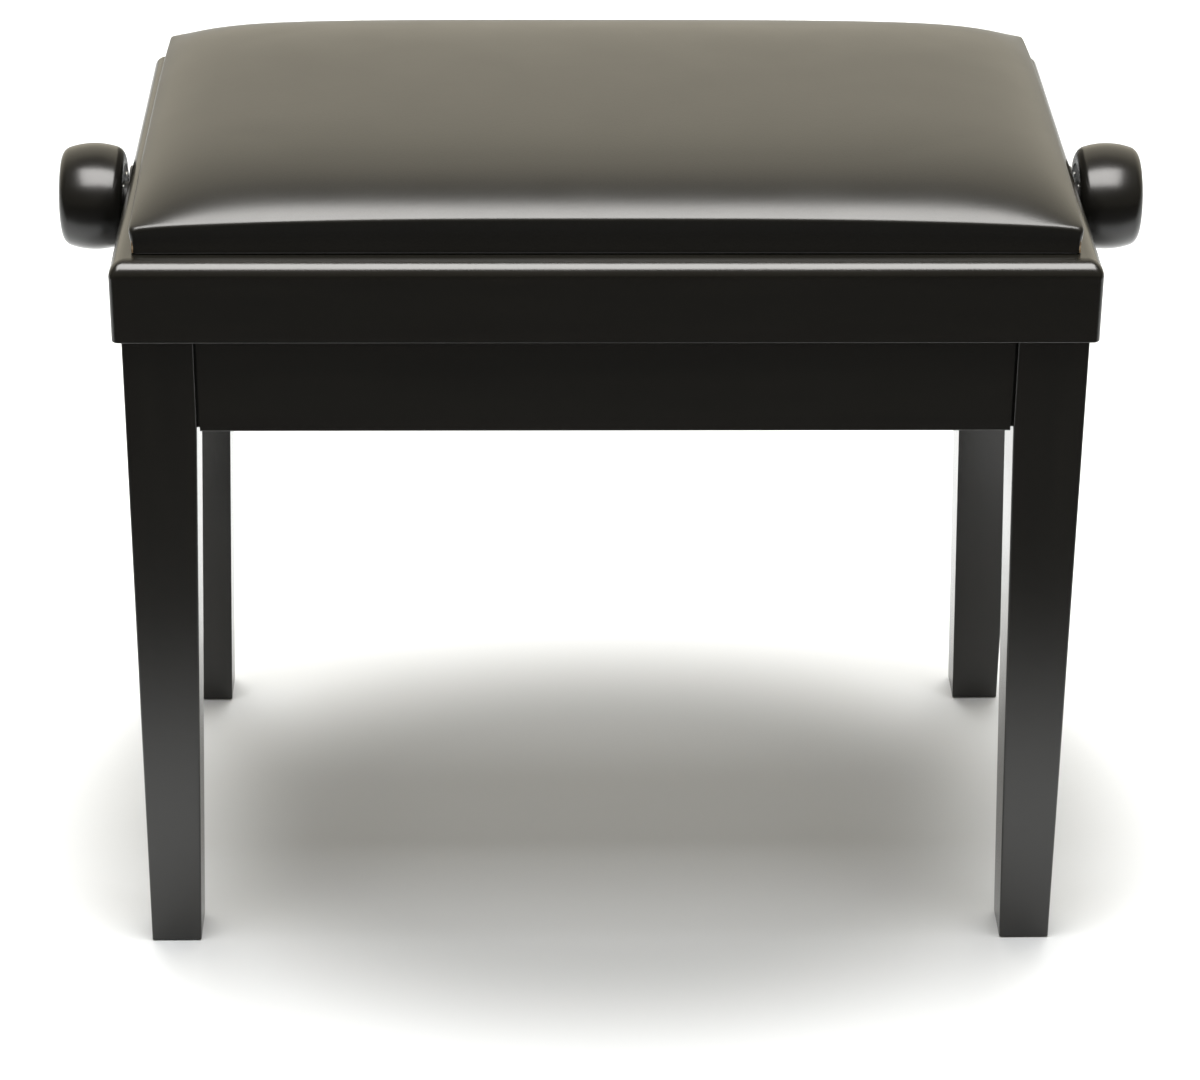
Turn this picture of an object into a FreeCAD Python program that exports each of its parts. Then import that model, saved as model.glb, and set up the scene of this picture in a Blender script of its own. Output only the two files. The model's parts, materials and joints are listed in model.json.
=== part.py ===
import FreeCAD, Part
import math
import os

import Sketcher
from FreeCAD import Placement, Rotation, Vector

# Adjustable piano bench, in millimetres.
# Origin: on the floor, under the middle of the bench. +X is the player's right, seen from the
# front (-Y) side, +Y points to the back and +Z points up. The seat is modelled at its lowest height.

SIZES = {
    # seat frame
    "seat_width": 550.0,
    "seat_depth": 330.0,
    "frame_top": 445.0,
    "frame_height": 48.0,
    "frame_wall": 22.0,
    "frame_corner_radius": 4.0,
    "frame_top_radius": 9.0,
    "frame_edge_radius": 1.0,
    "glue_block_side": 32.0,
    "glue_block_height": 24.0,
    # base
    "base_width": 540.0,
    "base_depth": 320.0,
    "base_gap": 0.4,
    "leg_side": 40.0,
    "leg_foot_side": 29.5,
    "leg_edge_radius": 1.2,
    "leg_notch": 10.0,
    "apron_bottom": 340.0,
    "apron_wall": 20.0,
    "apron_setback": 1.0,
    "apron_groove_width": 1.6,
    "apron_groove_depth": 6.0,
    "brace_wall": 16.0,
    "brace_bottom": 346.0,
    "brace_height": 46.0,
    "glide_radius": 9.0,
    "glide_thickness": 3.0,
    "glide_stand": 0.8,
    # hardware of the base
    "bolt_radius": 4.0,
    "bolt_height": 369.0,
    "bolt_in_leg": 28.0,
    "bolt_inside": 14.0,
    "screw_radius": 1.9,
    "screw_head_radius": 4.0,
    "pilot_gap": 0.15,
    # scissor mechanism
    "pivot_x": 173.0,
    "lower_pivot_height": 367.0,
    "pivot_rise": 50.0,
    "arm_length": 350.0,
    "arm_width": 22.0,
    "arm_wall": 4.0,
    "outer_arm_y": 122.0,
    "inner_arm_y": 117.0,
    "pin_radius": 5.0,
    "running_gap": 0.06,
    "centre_axle_radius": 6.0,
    "open_pivot_gap": 1.0,
    "roller_radius": 6.5,
    "rail_y": 127.5,
    "rail_wall": 2.5,
    "lower_rail_half_length": 190.0,
    "lower_rail_bottom": 354.0,
    "lower_rail_height": 26.0,
    "lower_rail_skirt": 12.5,
    "upper_rail_half_length": 216.0,
    "upper_rail_height": 41.0,
    "upper_rail_flange": 13.5,
    "slide_travel": 28.5,
    "slide_spare": 1.6,
    # spindle
    "spindle_radius": 5.0,
    "spindle_half_length": 303.0,
    "tie_x": 200.0,
    "tie_tab": 14.0,
    "tie_bottom": 406.0,
    "tie_height": 34.0,
    "escutcheon_radius": 18.0,
    "escutcheon_thickness": 1.8,
    "hub_start": 277.6,
    "knob_start": 280.0,
    "knob_length": 39.0,
    "knob_radius": 31.3,
    "knob_rim_radius": 27.5,
    "knob_seat_radius": 19.0,
    "knob_crown": 3.0,
    "knob_rim_fillet": 7.0,
    # upholstery
    "board_width": 525.0,
    "board_depth": 302.0,
    "board_thickness": 11.0,
    "cover_thickness": 1.0,
    "cover_fold": 37.0,
    "seat_crown_height": 41.0,
    "seat_side_height": 25.0,
}


class Size:
    """A number together with the spreadsheet expression that gives it."""

    def __init__(self, value, text):
        self.value = float(value)
        self.text = text

    def __add__(self, other):
        other = as_size(other)
        return Size(self.value + other.value, f"({self.text} + {other.text})")

    def __sub__(self, other):
        other = as_size(other)
        return Size(self.value - other.value, f"({self.text} - {other.text})")

    def __mul__(self, other):
        other = as_size(other)
        return Size(self.value * other.value, f"({self.text} * {other.text})")

    def __truediv__(self, other):
        other = as_size(other)
        return Size(self.value / other.value, f"({self.text} / {other.text})")

    def __neg__(self):
        return Size(-self.value, f"(0 - {self.text})")


def as_size(number):
    return number if isinstance(number, Size) else Size(number, repr(float(number)))


def square_root(area):
    return Size(math.sqrt(area.value), f"sqrt({area.text})")


doc = FreeCAD.newDocument("piano_bench")
sheet = doc.addObject("Spreadsheet::Sheet", "Sizes")
for row, (alias, number) in enumerate(SIZES.items(), start=1):
    sheet.set(f"A{row}", alias)
    sheet.set(f"B{row}", str(number))
    sheet.setAlias(f"B{row}", alias)
doc.recompute()

size = {alias: Size(number, f"Sizes.{alias}") for alias, number in SIZES.items()}
nodes = []
SIDES = {"left": -1, "right": 1}
ENDS = {"front": -1, "rear": 1}


# ---------------------------------------------------------------- helpers

def bind(thing, path, length):
    """Drive one property of a document object from the sheet."""
    thing.setExpression(path, as_size(length).text)


def keep(thing, label):
    """Name a finished sub-part."""
    thing.Label = label
    nodes.append(thing)
    return thing


def place(thing, x=0, y=0, z=0, rotation=None):
    spot = [as_size(x), as_size(y), as_size(z)]
    thing.Placement = Placement(Vector(*[s.value for s in spot]), rotation or Rotation())
    for axis, length in zip("xyz", spot):
        bind(thing, f"Placement.Base.{axis}", length)
    return thing


def new_sketch(body, name, plane, level):
    """A sketch on one of the body's origin planes, at a level along +X, +Y or +Z."""
    sketch = body.newObject("Sketcher::SketchObject", name)
    support = [f for f in body.Origin.OriginFeatures if f.Role == plane][0]
    sketch.AttachmentSupport = (support, "")
    sketch.MapMode = "FlatFace"
    offset = -as_size(level) if plane == "XZ_Plane" else as_size(level)
    sketch.AttachmentOffset = Placement(Vector(0, 0, offset.value), Rotation())
    bind(sketch, "AttachmentOffset.Base.z", offset)
    return sketch


def fix_point(sketch, edge, end, point):
    for kind, length in zip(("DistanceX", "DistanceY"), point):
        length = as_size(length)
        index = sketch.addConstraint(Sketcher.Constraint(kind, -1, 1, edge, end, length.value))
        sketch.renameConstraint(index, f"{kind}_{edge}_{end}")
        bind(sketch, f"Constraints.{kind}_{edge}_{end}", length)


def draw_polygon(sketch, points):
    first = sketch.GeometryCount
    corners = [Vector(as_size(x).value, as_size(y).value, 0) for x, y in points]
    count = len(points)
    for k in range(count):
        sketch.addGeometry(Part.LineSegment(corners[k], corners[(k + 1) % count]), False)
    for k in range(count):
        sketch.addConstraint(Sketcher.Constraint("Coincident", first + k, 2, first + (k + 1) % count, 1))
    for k in range(count):
        fix_point(sketch, first + k, 1, points[k])


def draw_circle(sketch, centre, radius):
    spot = Vector(as_size(centre[0]).value, as_size(centre[1]).value, 0)
    edge = sketch.addGeometry(Part.Circle(spot, Vector(0, 0, 1), radius.value), False)
    fix_point(sketch, edge, 3, centre)
    index = sketch.addConstraint(Sketcher.Constraint("Radius", edge, radius.value))
    sketch.renameConstraint(index, f"Radius_{edge}")
    bind(sketch, f"Constraints.Radius_{edge}", radius)


def draw_slot(sketch, start_x, end_x, height, radius):
    """A slot along the sketch's x axis, between two end centres."""
    left, right, level, reach = [as_size(v).value for v in (start_x, end_x, height, radius)]
    up = Vector(0, 0, 1)
    quarter = math.pi / 2
    first = sketch.GeometryCount
    right_end = Part.Circle(Vector(right, level, 0), up, reach)
    left_end = Part.Circle(Vector(left, level, 0), up, reach)
    top = [Vector(x, level + reach, 0) for x in (left, right)]
    bottom = [Vector(x, level - reach, 0) for x in (right, left)]
    for edge in (Part.LineSegment(*top), Part.ArcOfCircle(right_end, -quarter, quarter),
                 Part.LineSegment(*bottom), Part.ArcOfCircle(left_end, quarter, 3 * quarter)):
        sketch.addGeometry(edge, False)
    for a, a_end, b, b_end in ((0, 2, 1, 2), (1, 1, 2, 1), (2, 2, 3, 2), (3, 1, 0, 1)):
        sketch.addConstraint(Sketcher.Constraint("Tangent", first + a, a_end, first + b, b_end))
    fix_point(sketch, first + 1, 3, (end_x, height))
    fix_point(sketch, first + 3, 3, (start_x, height))
    sketch.addConstraint(Sketcher.Constraint("Equal", first + 1, first + 3))
    index = sketch.addConstraint(Sketcher.Constraint("Radius", first + 1, reach))
    sketch.renameConstraint(index, f"Radius_{first + 1}")
    bind(sketch, f"Constraints.Radius_{first + 1}", radius)


def in_order(a, b):
    a, b = as_size(a), as_size(b)
    return (a, b) if a.value <= b.value else (b, a)


def add_pad(body, name, plane, a, b, draw):
    """Pad what draw(sketch) draws, from level a to level b along the plane's own axis."""
    low, high = in_order(a, b)
    sketch = new_sketch(body, name + "_profile", plane, high if plane == "XZ_Plane" else low)
    draw(sketch)
    pad = body.newObject("PartDesign::Pad", name)
    pad.Profile = sketch
    pad.Length = (high - low).value
    bind(pad, "Length", high - low)
    body.Tip = pad
    return pad


def add_pocket(body, name, plane, a, b, draw):
    """Cut what draw(sketch) draws, between levels a and b. A pocket runs against its plane's axis."""
    low, high = in_order(a, b)
    sketch = new_sketch(body, name + "_profile", plane, low if plane == "XZ_Plane" else high)
    draw(sketch)
    pocket = body.newObject("PartDesign::Pocket", name)
    pocket.Profile = sketch
    pocket.Length = (high - low).value
    bind(pocket, "Length", high - low)
    body.Tip = pocket
    doc.recompute()
    if pocket.Shape.Volume > pocket.BaseFeature.Shape.Volume - 1.0:
        raise RuntimeError(f"{body.Name}: the pocket {name} removes nothing")
    return pocket


def new_body(name):
    return doc.addObject("PartDesign::Body", name)


def round_edges(body, name, radius, chosen):
    """Fillet the edges of the body's tip for which chosen(edge) is true."""
    doc.recompute()
    base = body.Tip
    picked = [f"Edge{k}" for k, edge in enumerate(base.Shape.Edges, start=1) if chosen(edge)]
    if not picked:
        raise RuntimeError(f"{body.Name}: no edge to round for {name}")
    fillet = body.newObject("PartDesign::Fillet", name)
    fillet.Base = (base, picked)
    fillet.Radius = radius.value
    bind(fillet, "Radius", radius)
    body.Tip = fillet
    return fillet


def at_height(edge, height):
    return all(abs(vertex.Z - height.value) < 1e-3 for vertex in edge.Vertexes)


def is_upright(edge):
    low, high = edge.BoundBox.ZMin, edge.BoundBox.ZMax
    return high - low > 0.8 * edge.Length and high - low > 20.0


ALONG = {"X": Rotation(Vector(0, 1, 0), 90), "Y": Rotation(Vector(1, 0, 0), -90), "Z": Rotation()}


def rod(name, axis, centre, radius, a, b):
    """A Part::Cylinder along an axis, from a to b; centre holds the other two coordinates."""
    low, high = in_order(a, b)
    cylinder = doc.addObject("Part::Cylinder", name)
    bind(cylinder, "Radius", radius)
    bind(cylinder, "Height", high - low)
    first, second = centre
    spot = {"X": (low, first, second), "Y": (first, low, second), "Z": (first, second, low)}[axis]
    return place(cylinder, *spot, rotation=ALONG[axis])


def box(name, x_span, y_span, z_span):
    """A Part::Box between two levels along each axis."""
    spans = [in_order(*span) for span in (x_span, y_span, z_span)]
    solid = doc.addObject("Part::Box", name)
    for side, (low, high) in zip(("Length", "Width", "Height"), spans):
        bind(solid, side, high - low)
    return place(solid, *[low for low, high in spans])


def cut(name, blank, tools):
    """The blank with its tools taken away, as a Part::Cut."""
    removed = doc.addObject("Part::Compound", name + "_cutters")
    removed.Links = tools
    result = doc.addObject("Part::Cut", name)
    result.Base = blank
    result.Tool = removed
    doc.recompute()
    if result.Shape.Volume > blank.Shape.Volume - 0.5:
        raise RuntimeError(f"{name}: the cutters remove nothing")
    return result


def fuse(name, pieces):
    result = doc.addObject("Part::MultiFuse", name)
    result.Shapes = pieces
    result.Refine = True
    return result


def ring(name, axis, centre, outer, inner, a, b):
    """A washer, bush or collar along an axis."""
    solid = rod(name + "_disc", axis, centre, outer, a, b)
    low, high = in_order(a, b)
    bore = rod(name + "_bore", axis, centre, inner, low - 1, high + 1)
    return cut(name, solid, [bore])


def group(label, shapes):
    """Separate identical solids that share one node."""
    feature = doc.addObject("Part::Feature", label)
    feature.Shape = Part.makeCompound(shapes)
    return keep(feature, label)


def moved(shape, position, rotation=None):
    copy = shape.copy()
    copy.Placement = Placement(Vector(*position), rotation or Rotation()).multiply(copy.Placement)
    return copy


# ---------------------------------------------------------------- worked-out sizes

half_width = size["seat_width"] / 2
half_depth = size["seat_depth"] / 2
frame_bottom = size["frame_top"] - size["frame_height"]
inner_x = half_width - size["frame_wall"]
inner_y = half_depth - size["frame_wall"]

leg_x = size["base_width"] / 2
leg_y = size["base_depth"] / 2
base_top = frame_bottom - size["base_gap"]
apron_outer_x = leg_x - size["apron_setback"]
apron_outer_y = leg_y - size["apron_setback"]
apron_inner_x = apron_outer_x - size["apron_wall"]
apron_inner_y = apron_outer_y - size["apron_wall"]
between_legs_x = leg_x - size["leg_side"]
between_legs_y = leg_y - size["leg_side"]

upper_pivot_height = size["lower_pivot_height"] + size["pivot_rise"]
spindle_height = upper_pivot_height
arm_angle = math.degrees(math.asin(size["pivot_rise"].value / size["arm_length"].value))
arm_reach = square_root(size["arm_length"] * size["arm_length"] - size["pivot_rise"] * size["pivot_rise"])
slide_x = size["pivot_x"] - arm_reach
slot_radius = size["roller_radius"] + size["open_pivot_gap"]
pin_hole = size["pin_radius"] + size["running_gap"]
rail_back_y = size["rail_y"] + size["rail_wall"]
pin_reach = rail_back_y + 3.5
clip_y = rail_back_y + 1.2
pilot_radius = size["screw_radius"] + size["pilot_gap"]
upper_screw_y = rail_back_y + 5.6
lower_screw_height = size["lower_rail_bottom"] - 6
rivet_radius = as_size(2.5)
rivet_hole = rivet_radius + 0.1
tie_rivet_x = size["tie_x"] + size["tie_tab"] / 2 + 1
tie_rivet_heights = (size["tie_bottom"] + 7, size["tie_bottom"] + 26)
bush_radius = size["spindle_radius"] + 3
collar_radius = size["spindle_radius"] + 5
LOWER_SCREW_X = (-150.0, 0.0, 150.0)
UPPER_SCREW_X = (-190.0, 0.0, 190.0)

print("arm angle at rest", round(arm_angle, 4), "slide pivot x", round(slide_x.value, 3))


# ---------------------------------------------------------------- base: legs, aprons, braces

def corner_sum(offset=0):
    """x + y of the brace's outer face, measured from the middle of the bench."""
    return between_legs_x + between_legs_y + size["leg_notch"] + offset


def make_leg(label, side, end):
    """Outer faces upright, inner faces tapered below the aprons, inner corner cut for the brace."""
    leg = new_body(label + "_blank")

    def square(width):
        far_x, far_y = leg_x * side, leg_y * end
        near_x, near_y = (leg_x - width) * side, (leg_y - width) * end
        return [(far_x, far_y), (near_x, far_y), (near_x, near_y), (far_x, near_y)]

    add_pad(leg, label + "_top", "XY_Plane", size["apron_bottom"], base_top,
            lambda sketch: draw_polygon(sketch, square(size["leg_side"])))
    shoulder = new_sketch(leg, label + "_shoulder", "XY_Plane", size["apron_bottom"])
    draw_polygon(shoulder, square(size["leg_side"]))
    foot = new_sketch(leg, label + "_foot", "XY_Plane", size["glide_stand"])
    draw_polygon(foot, square(size["leg_foot_side"]))
    taper = leg.newObject("PartDesign::AdditiveLoft", label + "_taper")
    taper.Profile = shoulder
    taper.Sections = [foot]
    leg.Tip = taper
    notch = size["leg_notch"]
    near_x, near_y = between_legs_x, between_legs_y
    add_pocket(leg, label + "_notch", "XY_Plane", size["brace_bottom"] - 4, base_top,
               lambda sketch: draw_polygon(sketch, [
                   (near_x * side, near_y * end),
                   ((near_x + notch) * side, near_y * end),
                   (near_x * side, (near_y + notch) * end)]))
    corner = Vector(leg_x.value * side, leg_y.value * end, 0)
    outer = [corner, Vector(corner.x - size["leg_side"].value * side, corner.y, 0),
             Vector(corner.x, corner.y - size["leg_side"].value * end, 0)]
    foot_reach = size["leg_side"].value - size["leg_foot_side"].value + 1.0

    def on_outer_corner(edge):
        middle = edge.CenterOfMass
        middle.z = 0
        return is_upright(edge) and min((middle - spot).Length for spot in outer) < foot_reach

    round_edges(leg, label + "_edges", size["leg_edge_radius"], on_outer_corner)
    centre = leg_x - size["leg_foot_side"] / 2, leg_y - size["leg_foot_side"] / 2
    recess = rod(label + "_recess", "Z", (centre[0] * side, centre[1] * end),
                 size["glide_radius"] + 0.1, 0, size["glide_thickness"])
    bolt_hole = diagonal_rod(label + "_bolt_hole", side, end, size["bolt_radius"] + 0.15,
                             -size["bolt_in_leg"] - 1, 2)
    return keep(cut(label, leg, [recess, bolt_hole]), label)


def diagonal_rod(name, side, end, radius, a, b):
    """A cylinder along a corner's diagonal; 0 is the brace's outer face and + points inwards."""
    low, high = in_order(a, b)
    heading = Vector(-side, -end, 0)
    notch_x = (between_legs_x + size["leg_notch"] / 2) * side
    notch_y = (between_legs_y + size["leg_notch"] / 2) * end
    cylinder = doc.addObject("Part::Cylinder", name)
    bind(cylinder, "Radius", radius)
    bind(cylinder, "Height", high - low)
    step = low / math.sqrt(2)
    return place(cylinder, notch_x - step * side, notch_y - step * end, size["bolt_height"],
                 rotation=Rotation(Vector(0, 0, 1), heading))


def make_brace(label, side, end):
    brace = new_body(label + "_blank")
    face = corner_sum()
    back = corner_sum(-(size["brace_wall"] * math.sqrt(2)))
    points = [(face - apron_inner_y, apron_inner_y), (apron_inner_x, face - apron_inner_x),
              (apron_inner_x, back - apron_inner_x), (back - apron_inner_y, apron_inner_y)]
    add_pad(brace, label + "_pad", "XY_Plane", size["brace_bottom"],
            size["brace_bottom"] + size["brace_height"],
            lambda sketch: draw_polygon(sketch, [(x * side, y * end) for x, y in points]))
    holes = [diagonal_rod(label + "_bolt_hole", side, end, size["bolt_radius"] + 0.4, -2,
                          size["brace_wall"] + 2)]
    for k, (axis, along, across, height) in enumerate(brace_screws(side, end)):
        low, high = in_order(along - 40 * sign_of(along), along + 40 * sign_of(along))
        holes.append(rod(f"{label}_screw_hole_{k}", axis, (across, height), pilot_radius, low, high))
        holes.append(rod(f"{label}_head_hole_{k}", axis, (across, height),
                         size["screw_head_radius"] + 0.4,
                         along - 8.0 * sign_of(along), along - 40 * sign_of(along)))
    return keep(cut(label, brace, holes), label)


def sign_of(length):
    return 1 if length.value > 0 else -1


def brace_screws(side, end):
    """Axis, apron's inner face, the other coordinate and height of a brace's four screws."""
    low = size["brace_bottom"] + 10
    high = size["brace_bottom"] + size["brace_height"] - 10
    back = corner_sum(-(size["brace_wall"] * math.sqrt(2)))
    for height in (low, high):
        yield "Y", apron_inner_y * end, (back - apron_inner_y + 12) * side, height
        yield "X", apron_inner_x * side, (back - apron_inner_x + 12) * end, height


def make_apron(label, axis, direction):
    """A board between two legs; axis X for front and rear, Y for the sides."""
    apron = new_body(label + "_blank")
    if axis == "X":
        reach, inner, outer = between_legs_x, apron_inner_y, apron_outer_y
        points = [(-reach, inner * direction), (reach, inner * direction),
                  (reach, outer * direction), (-reach, outer * direction)]
    else:
        reach, inner, outer = between_legs_y, apron_inner_x, apron_outer_x
        points = [(inner * direction, -reach), (inner * direction, reach),
                  (outer * direction, reach), (outer * direction, -reach)]
    add_pad(apron, label + "_pad", "XY_Plane", size["apron_bottom"], base_top,
            lambda sketch: draw_polygon(sketch, points))
    face = outer.value * direction

    def on_outer_face(edge):
        spots = [v.Y if axis == "X" else v.X for v in edge.Vertexes]
        level = at_height(edge, size["apron_bottom"]) or at_height(edge, base_top)
        return level and all(abs(s - face) < 1e-3 for s in spots)

    round_edges(apron, label + "_edges", size["frame_edge_radius"], on_outer_face)
    holes = []
    across_face = ((outer - size["apron_groove_depth"]) * direction, (outer + 1) * direction)
    for way in (-1, 1):
        along_face = ((reach - size["apron_groove_width"]) * way, (reach + 1) * way)
        spans = (along_face, across_face) if axis == "X" else (across_face, along_face)
        holes.append(box(f"{label}_groove_{way}", *spans, (size["apron_bottom"] - 1, base_top + 1)))
    for side in SIDES.values():
        for end in ENDS.values():
            for k, (way, along, across, height) in enumerate(brace_screws(side, end)):
                mine = (way == "Y") == (axis == "X") and sign_of(along) == direction
                if mine:
                    holes.append(rod(f"{label}_pilot_{side}_{end}_{k}", way, (across, height),
                                     pilot_radius, along - 1 * direction, along + 13 * direction))
    if axis == "X":
        for k, x in enumerate(LOWER_SCREW_X):
            holes.append(rod(f"{label}_rail_pilot_{k}", "Y", (x, lower_screw_height), pilot_radius,
                             (inner - 1) * direction, (inner + 13) * direction))
    return keep(cut(label, apron, holes), label)


for end_name, end in ENDS.items():
    for side_name, side in SIDES.items():
        make_leg(f"leg_{end_name}_{side_name}", side, end)
        make_brace(f"corner_brace_{end_name}_{side_name}", side, end)
for end_name, end in ENDS.items():
    make_apron(f"apron_{end_name}", "X", end)
for side_name, side in SIDES.items():
    make_apron(f"apron_{side_name}", "Y", side)


# ---------------------------------------------------------------- base: fasteners and glides

def corner_rotation(side, end):
    return Rotation(Vector(0, 0, 1), Vector(-side, -end, 0))


def at_corners(shape):
    """Copies of a shape drawn along +Z from the brace's outer face, one in each corner."""
    notch = size["leg_notch"].value / 2
    copies = []
    for side in SIDES.values():
        for end in ENDS.values():
            spot = ((between_legs_x.value + notch) * side, (between_legs_y.value + notch) * end,
                    size["bolt_height"].value)
            copies.append(moved(shape, spot, corner_rotation(side, end)))
    return copies


def make_hex_nut(name, radius, across_flats, thickness):
    nut = new_body(name)
    corner = across_flats / math.sqrt(3)

    def draw(sketch):
        draw_polygon(sketch, [(corner * math.cos(math.radians(60 * k)),
                               corner * math.sin(math.radians(60 * k))) for k in range(6)])
        draw_circle(sketch, (0, 0), radius)

    add_pad(nut, name + "_pad", "XY_Plane", 0, thickness, draw)
    doc.recompute()
    return nut


washer_thickness = 1.6
bolt = rod("hanger_bolt_pattern", "Z", (0, 0), size["bolt_radius"], -size["bolt_in_leg"],
           size["brace_wall"] + size["bolt_inside"])
washer = ring("hanger_washer_pattern", "Z", (0, 0), size["bolt_radius"] + 6,
              size["bolt_radius"] + 0.3, size["brace_wall"], size["brace_wall"] + washer_thickness)
hanger_nut = make_hex_nut("hanger_nut_pattern", size["bolt_radius"] + 0.1, size["bolt_radius"] * 3.25,
                          size["bolt_radius"] * 1.6)
doc.recompute()
group("hanger_bolts", at_corners(bolt.Shape))
group("hanger_washers", at_corners(washer.Shape))
nut_start = size["brace_wall"].value + washer_thickness
group("hanger_nuts", at_corners(moved(hanger_nut.Shape, (0, 0, nut_start))))


def make_screw(name, length):
    """A pan-head screw along +Z: its head's underside is at 0 and its point at length."""
    screw = new_body(name)
    shank, head = size["screw_radius"], size["screw_head_radius"]

    def draw(sketch):
        draw_polygon(sketch, [
            (0, -2.4), (head - 1.2, -2.4), (head, -1.2), (head, 0),
            (shank, 0), (shank, as_size(length) - 3), (0, length)])

    profile = new_sketch(screw, name + "_profile", "XZ_Plane", 0)
    draw(profile)
    turned = screw.newObject("PartDesign::Revolution", name + "_turned")
    turned.Profile = profile
    turned.ReferenceAxis = (profile, ["V_Axis"])
    turned.Angle = 360
    screw.Tip = turned
    slot_depth = as_size(1.0)
    add_pocket(screw, name + "_drive", "XY_Plane", -2.4, slot_depth - 2.4,
               lambda sketch: draw_polygon(sketch, [(-2.6, -0.5), (2.6, -0.5), (2.6, 0.5), (-2.6, 0.5)]))
    doc.recompute()
    return screw


POINTING = {("X", 1): Rotation(Vector(0, 0, 1), Vector(1, 0, 0)),
            ("X", -1): Rotation(Vector(0, 0, 1), Vector(-1, 0, 0)),
            ("Y", 1): Rotation(Vector(0, 0, 1), Vector(0, 1, 0)),
            ("Y", -1): Rotation(Vector(0, 0, 1), Vector(0, -1, 0)),
            ("Z", 1): Rotation()}

short_screw = make_screw("short_screw_pattern", 12.0)
brace_screw = make_screw("brace_screw_pattern", 18.0)

brace_screw_copies = []
for side in SIDES.values():
    for end in ENDS.values():
        for axis, along, across, height in brace_screws(side, end):
            way = sign_of(along)
            head = along.value - 8.0 * way
            spot = (across.value, head) if axis == "Y" else (head, across.value)
            brace_screw_copies.append(moved(brace_screw.Shape, (*spot, height.value), POINTING[axis, way]))
group("brace_screws", brace_screw_copies)

rail_screw_copies = []
for end in ENDS.values():
    for x in LOWER_SCREW_X:
        spot = (x, (apron_inner_y - size["rail_wall"]).value * end, lower_screw_height.value)
        rail_screw_copies.append(moved(short_screw.Shape, spot, POINTING["Y", end]))
group("lower_rail_screws", rail_screw_copies)

glides = []
for side_name, side in SIDES.items():
    for end_name, end in ENDS.items():
        centre = leg_x - size["leg_foot_side"] / 2, leg_y - size["leg_foot_side"] / 2
        glides.append(rod(f"glide_{end_name}_{side_name}", "Z", (centre[0] * side, centre[1] * end),
                          size["glide_radius"], 0, size["glide_thickness"]))
foot_glides = doc.addObject("Part::Compound", "foot_glides")
foot_glides.Links = glides
keep(foot_glides, "foot_glides")


# ---------------------------------------------------------------- rails of the mechanism

def draw_rail_cuts(sketch, pivot_height, hole_radius):
    draw_circle(sketch, (size["pivot_x"], pivot_height), hole_radius)
    start = slide_x - size["slide_spare"]
    draw_slot(sketch, start, start + size["slide_travel"], pivot_height, slot_radius)


def make_lower_rail(label, end):
    """Folded steel: an upright web for the pivots and a skirt screwed to the apron."""
    rail = new_body(label)
    web, wall = size["rail_y"], size["rail_wall"]
    top = size["lower_rail_bottom"] + size["lower_rail_height"]
    bottom, skirt = size["lower_rail_bottom"], size["lower_rail_bottom"] - size["lower_rail_skirt"]
    outer = apron_inner_y
    points = [(web, top), (web + wall, top), (web + wall, bottom + wall), (outer, bottom + wall),
              (outer, skirt), (outer - wall, skirt), (outer - wall, bottom), (web, bottom)]
    reach = size["lower_rail_half_length"]
    add_pad(rail, label + "_fold", "YZ_Plane", -reach, reach,
            lambda sketch: draw_polygon(sketch, [(y * end, z) for y, z in points]))
    add_pocket(rail, label + "_pivots", "XZ_Plane", (web - 5) * end, (web + 5) * end,
               lambda sketch: draw_rail_cuts(sketch, size["lower_pivot_height"],
                                             size["pin_radius"] + 0.05))

    def draw_screw_holes(sketch):
        for x in LOWER_SCREW_X:
            draw_circle(sketch, (x, lower_screw_height), size["screw_radius"] + 0.3)

    add_pocket(rail, label + "_screw_holes", "XZ_Plane", (outer - 4) * end, (outer + 1) * end,
               draw_screw_holes)
    return keep(rail, label)


def make_upper_rail(label, end):
    """Steel angle: an upright web for the pivots and a flange under the seat board."""
    rail = new_body(label)
    web, wall = size["rail_y"], size["rail_wall"]
    top = size["frame_top"]
    bottom = top - size["upper_rail_height"]
    edge = web + size["upper_rail_flange"]
    points = [(web, bottom), (web + wall, bottom), (web + wall, top - wall), (edge, top - wall),
              (edge, top), (web, top)]
    reach = size["upper_rail_half_length"]
    add_pad(rail, label + "_fold", "YZ_Plane", -reach, reach,
            lambda sketch: draw_polygon(sketch, [(y * end, z) for y, z in points]))

    def draw_web_holes(sketch):
        draw_rail_cuts(sketch, upper_pivot_height, size["pin_radius"] + 0.05)
        for x in (-tie_rivet_x, tie_rivet_x):
            for height in tie_rivet_heights:
                draw_circle(sketch, (x, height), rivet_hole)

    add_pocket(rail, label + "_pivots", "XZ_Plane", (web - 5) * end, (web + 5) * end, draw_web_holes)

    def draw_screw_holes(sketch):
        for x in UPPER_SCREW_X:
            draw_circle(sketch, (x, upper_screw_y * end), size["screw_radius"] + 0.3)

    add_pocket(rail, label + "_screw_holes", "XY_Plane", top - 4, top + 1, draw_screw_holes)
    return keep(rail, label)


for end_name, end in ENDS.items():
    make_lower_rail(f"lower_rail_{end_name}", end)
    make_upper_rail(f"upper_rail_{end_name}", end)


# ---------------------------------------------------------------- axles and arms

def stepped_axle(name, x, height, steps):
    """A shaft along Y, the same on both sides of the middle: (radius, from y, to y) steps."""
    pieces = []
    for k, (radius, a, b) in enumerate(steps):
        if a.value == 0:
            pieces.append(rod(f"{name}_{k}", "Y", (x, height), radius, -b, b))
        else:
            pieces.append(rod(f"{name}_{k}_front", "Y", (x, height), radius, -b, -a))
            pieces.append(rod(f"{name}_{k}_rear", "Y", (x, height), radius, a, b))
    return fuse(name, pieces)


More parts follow.
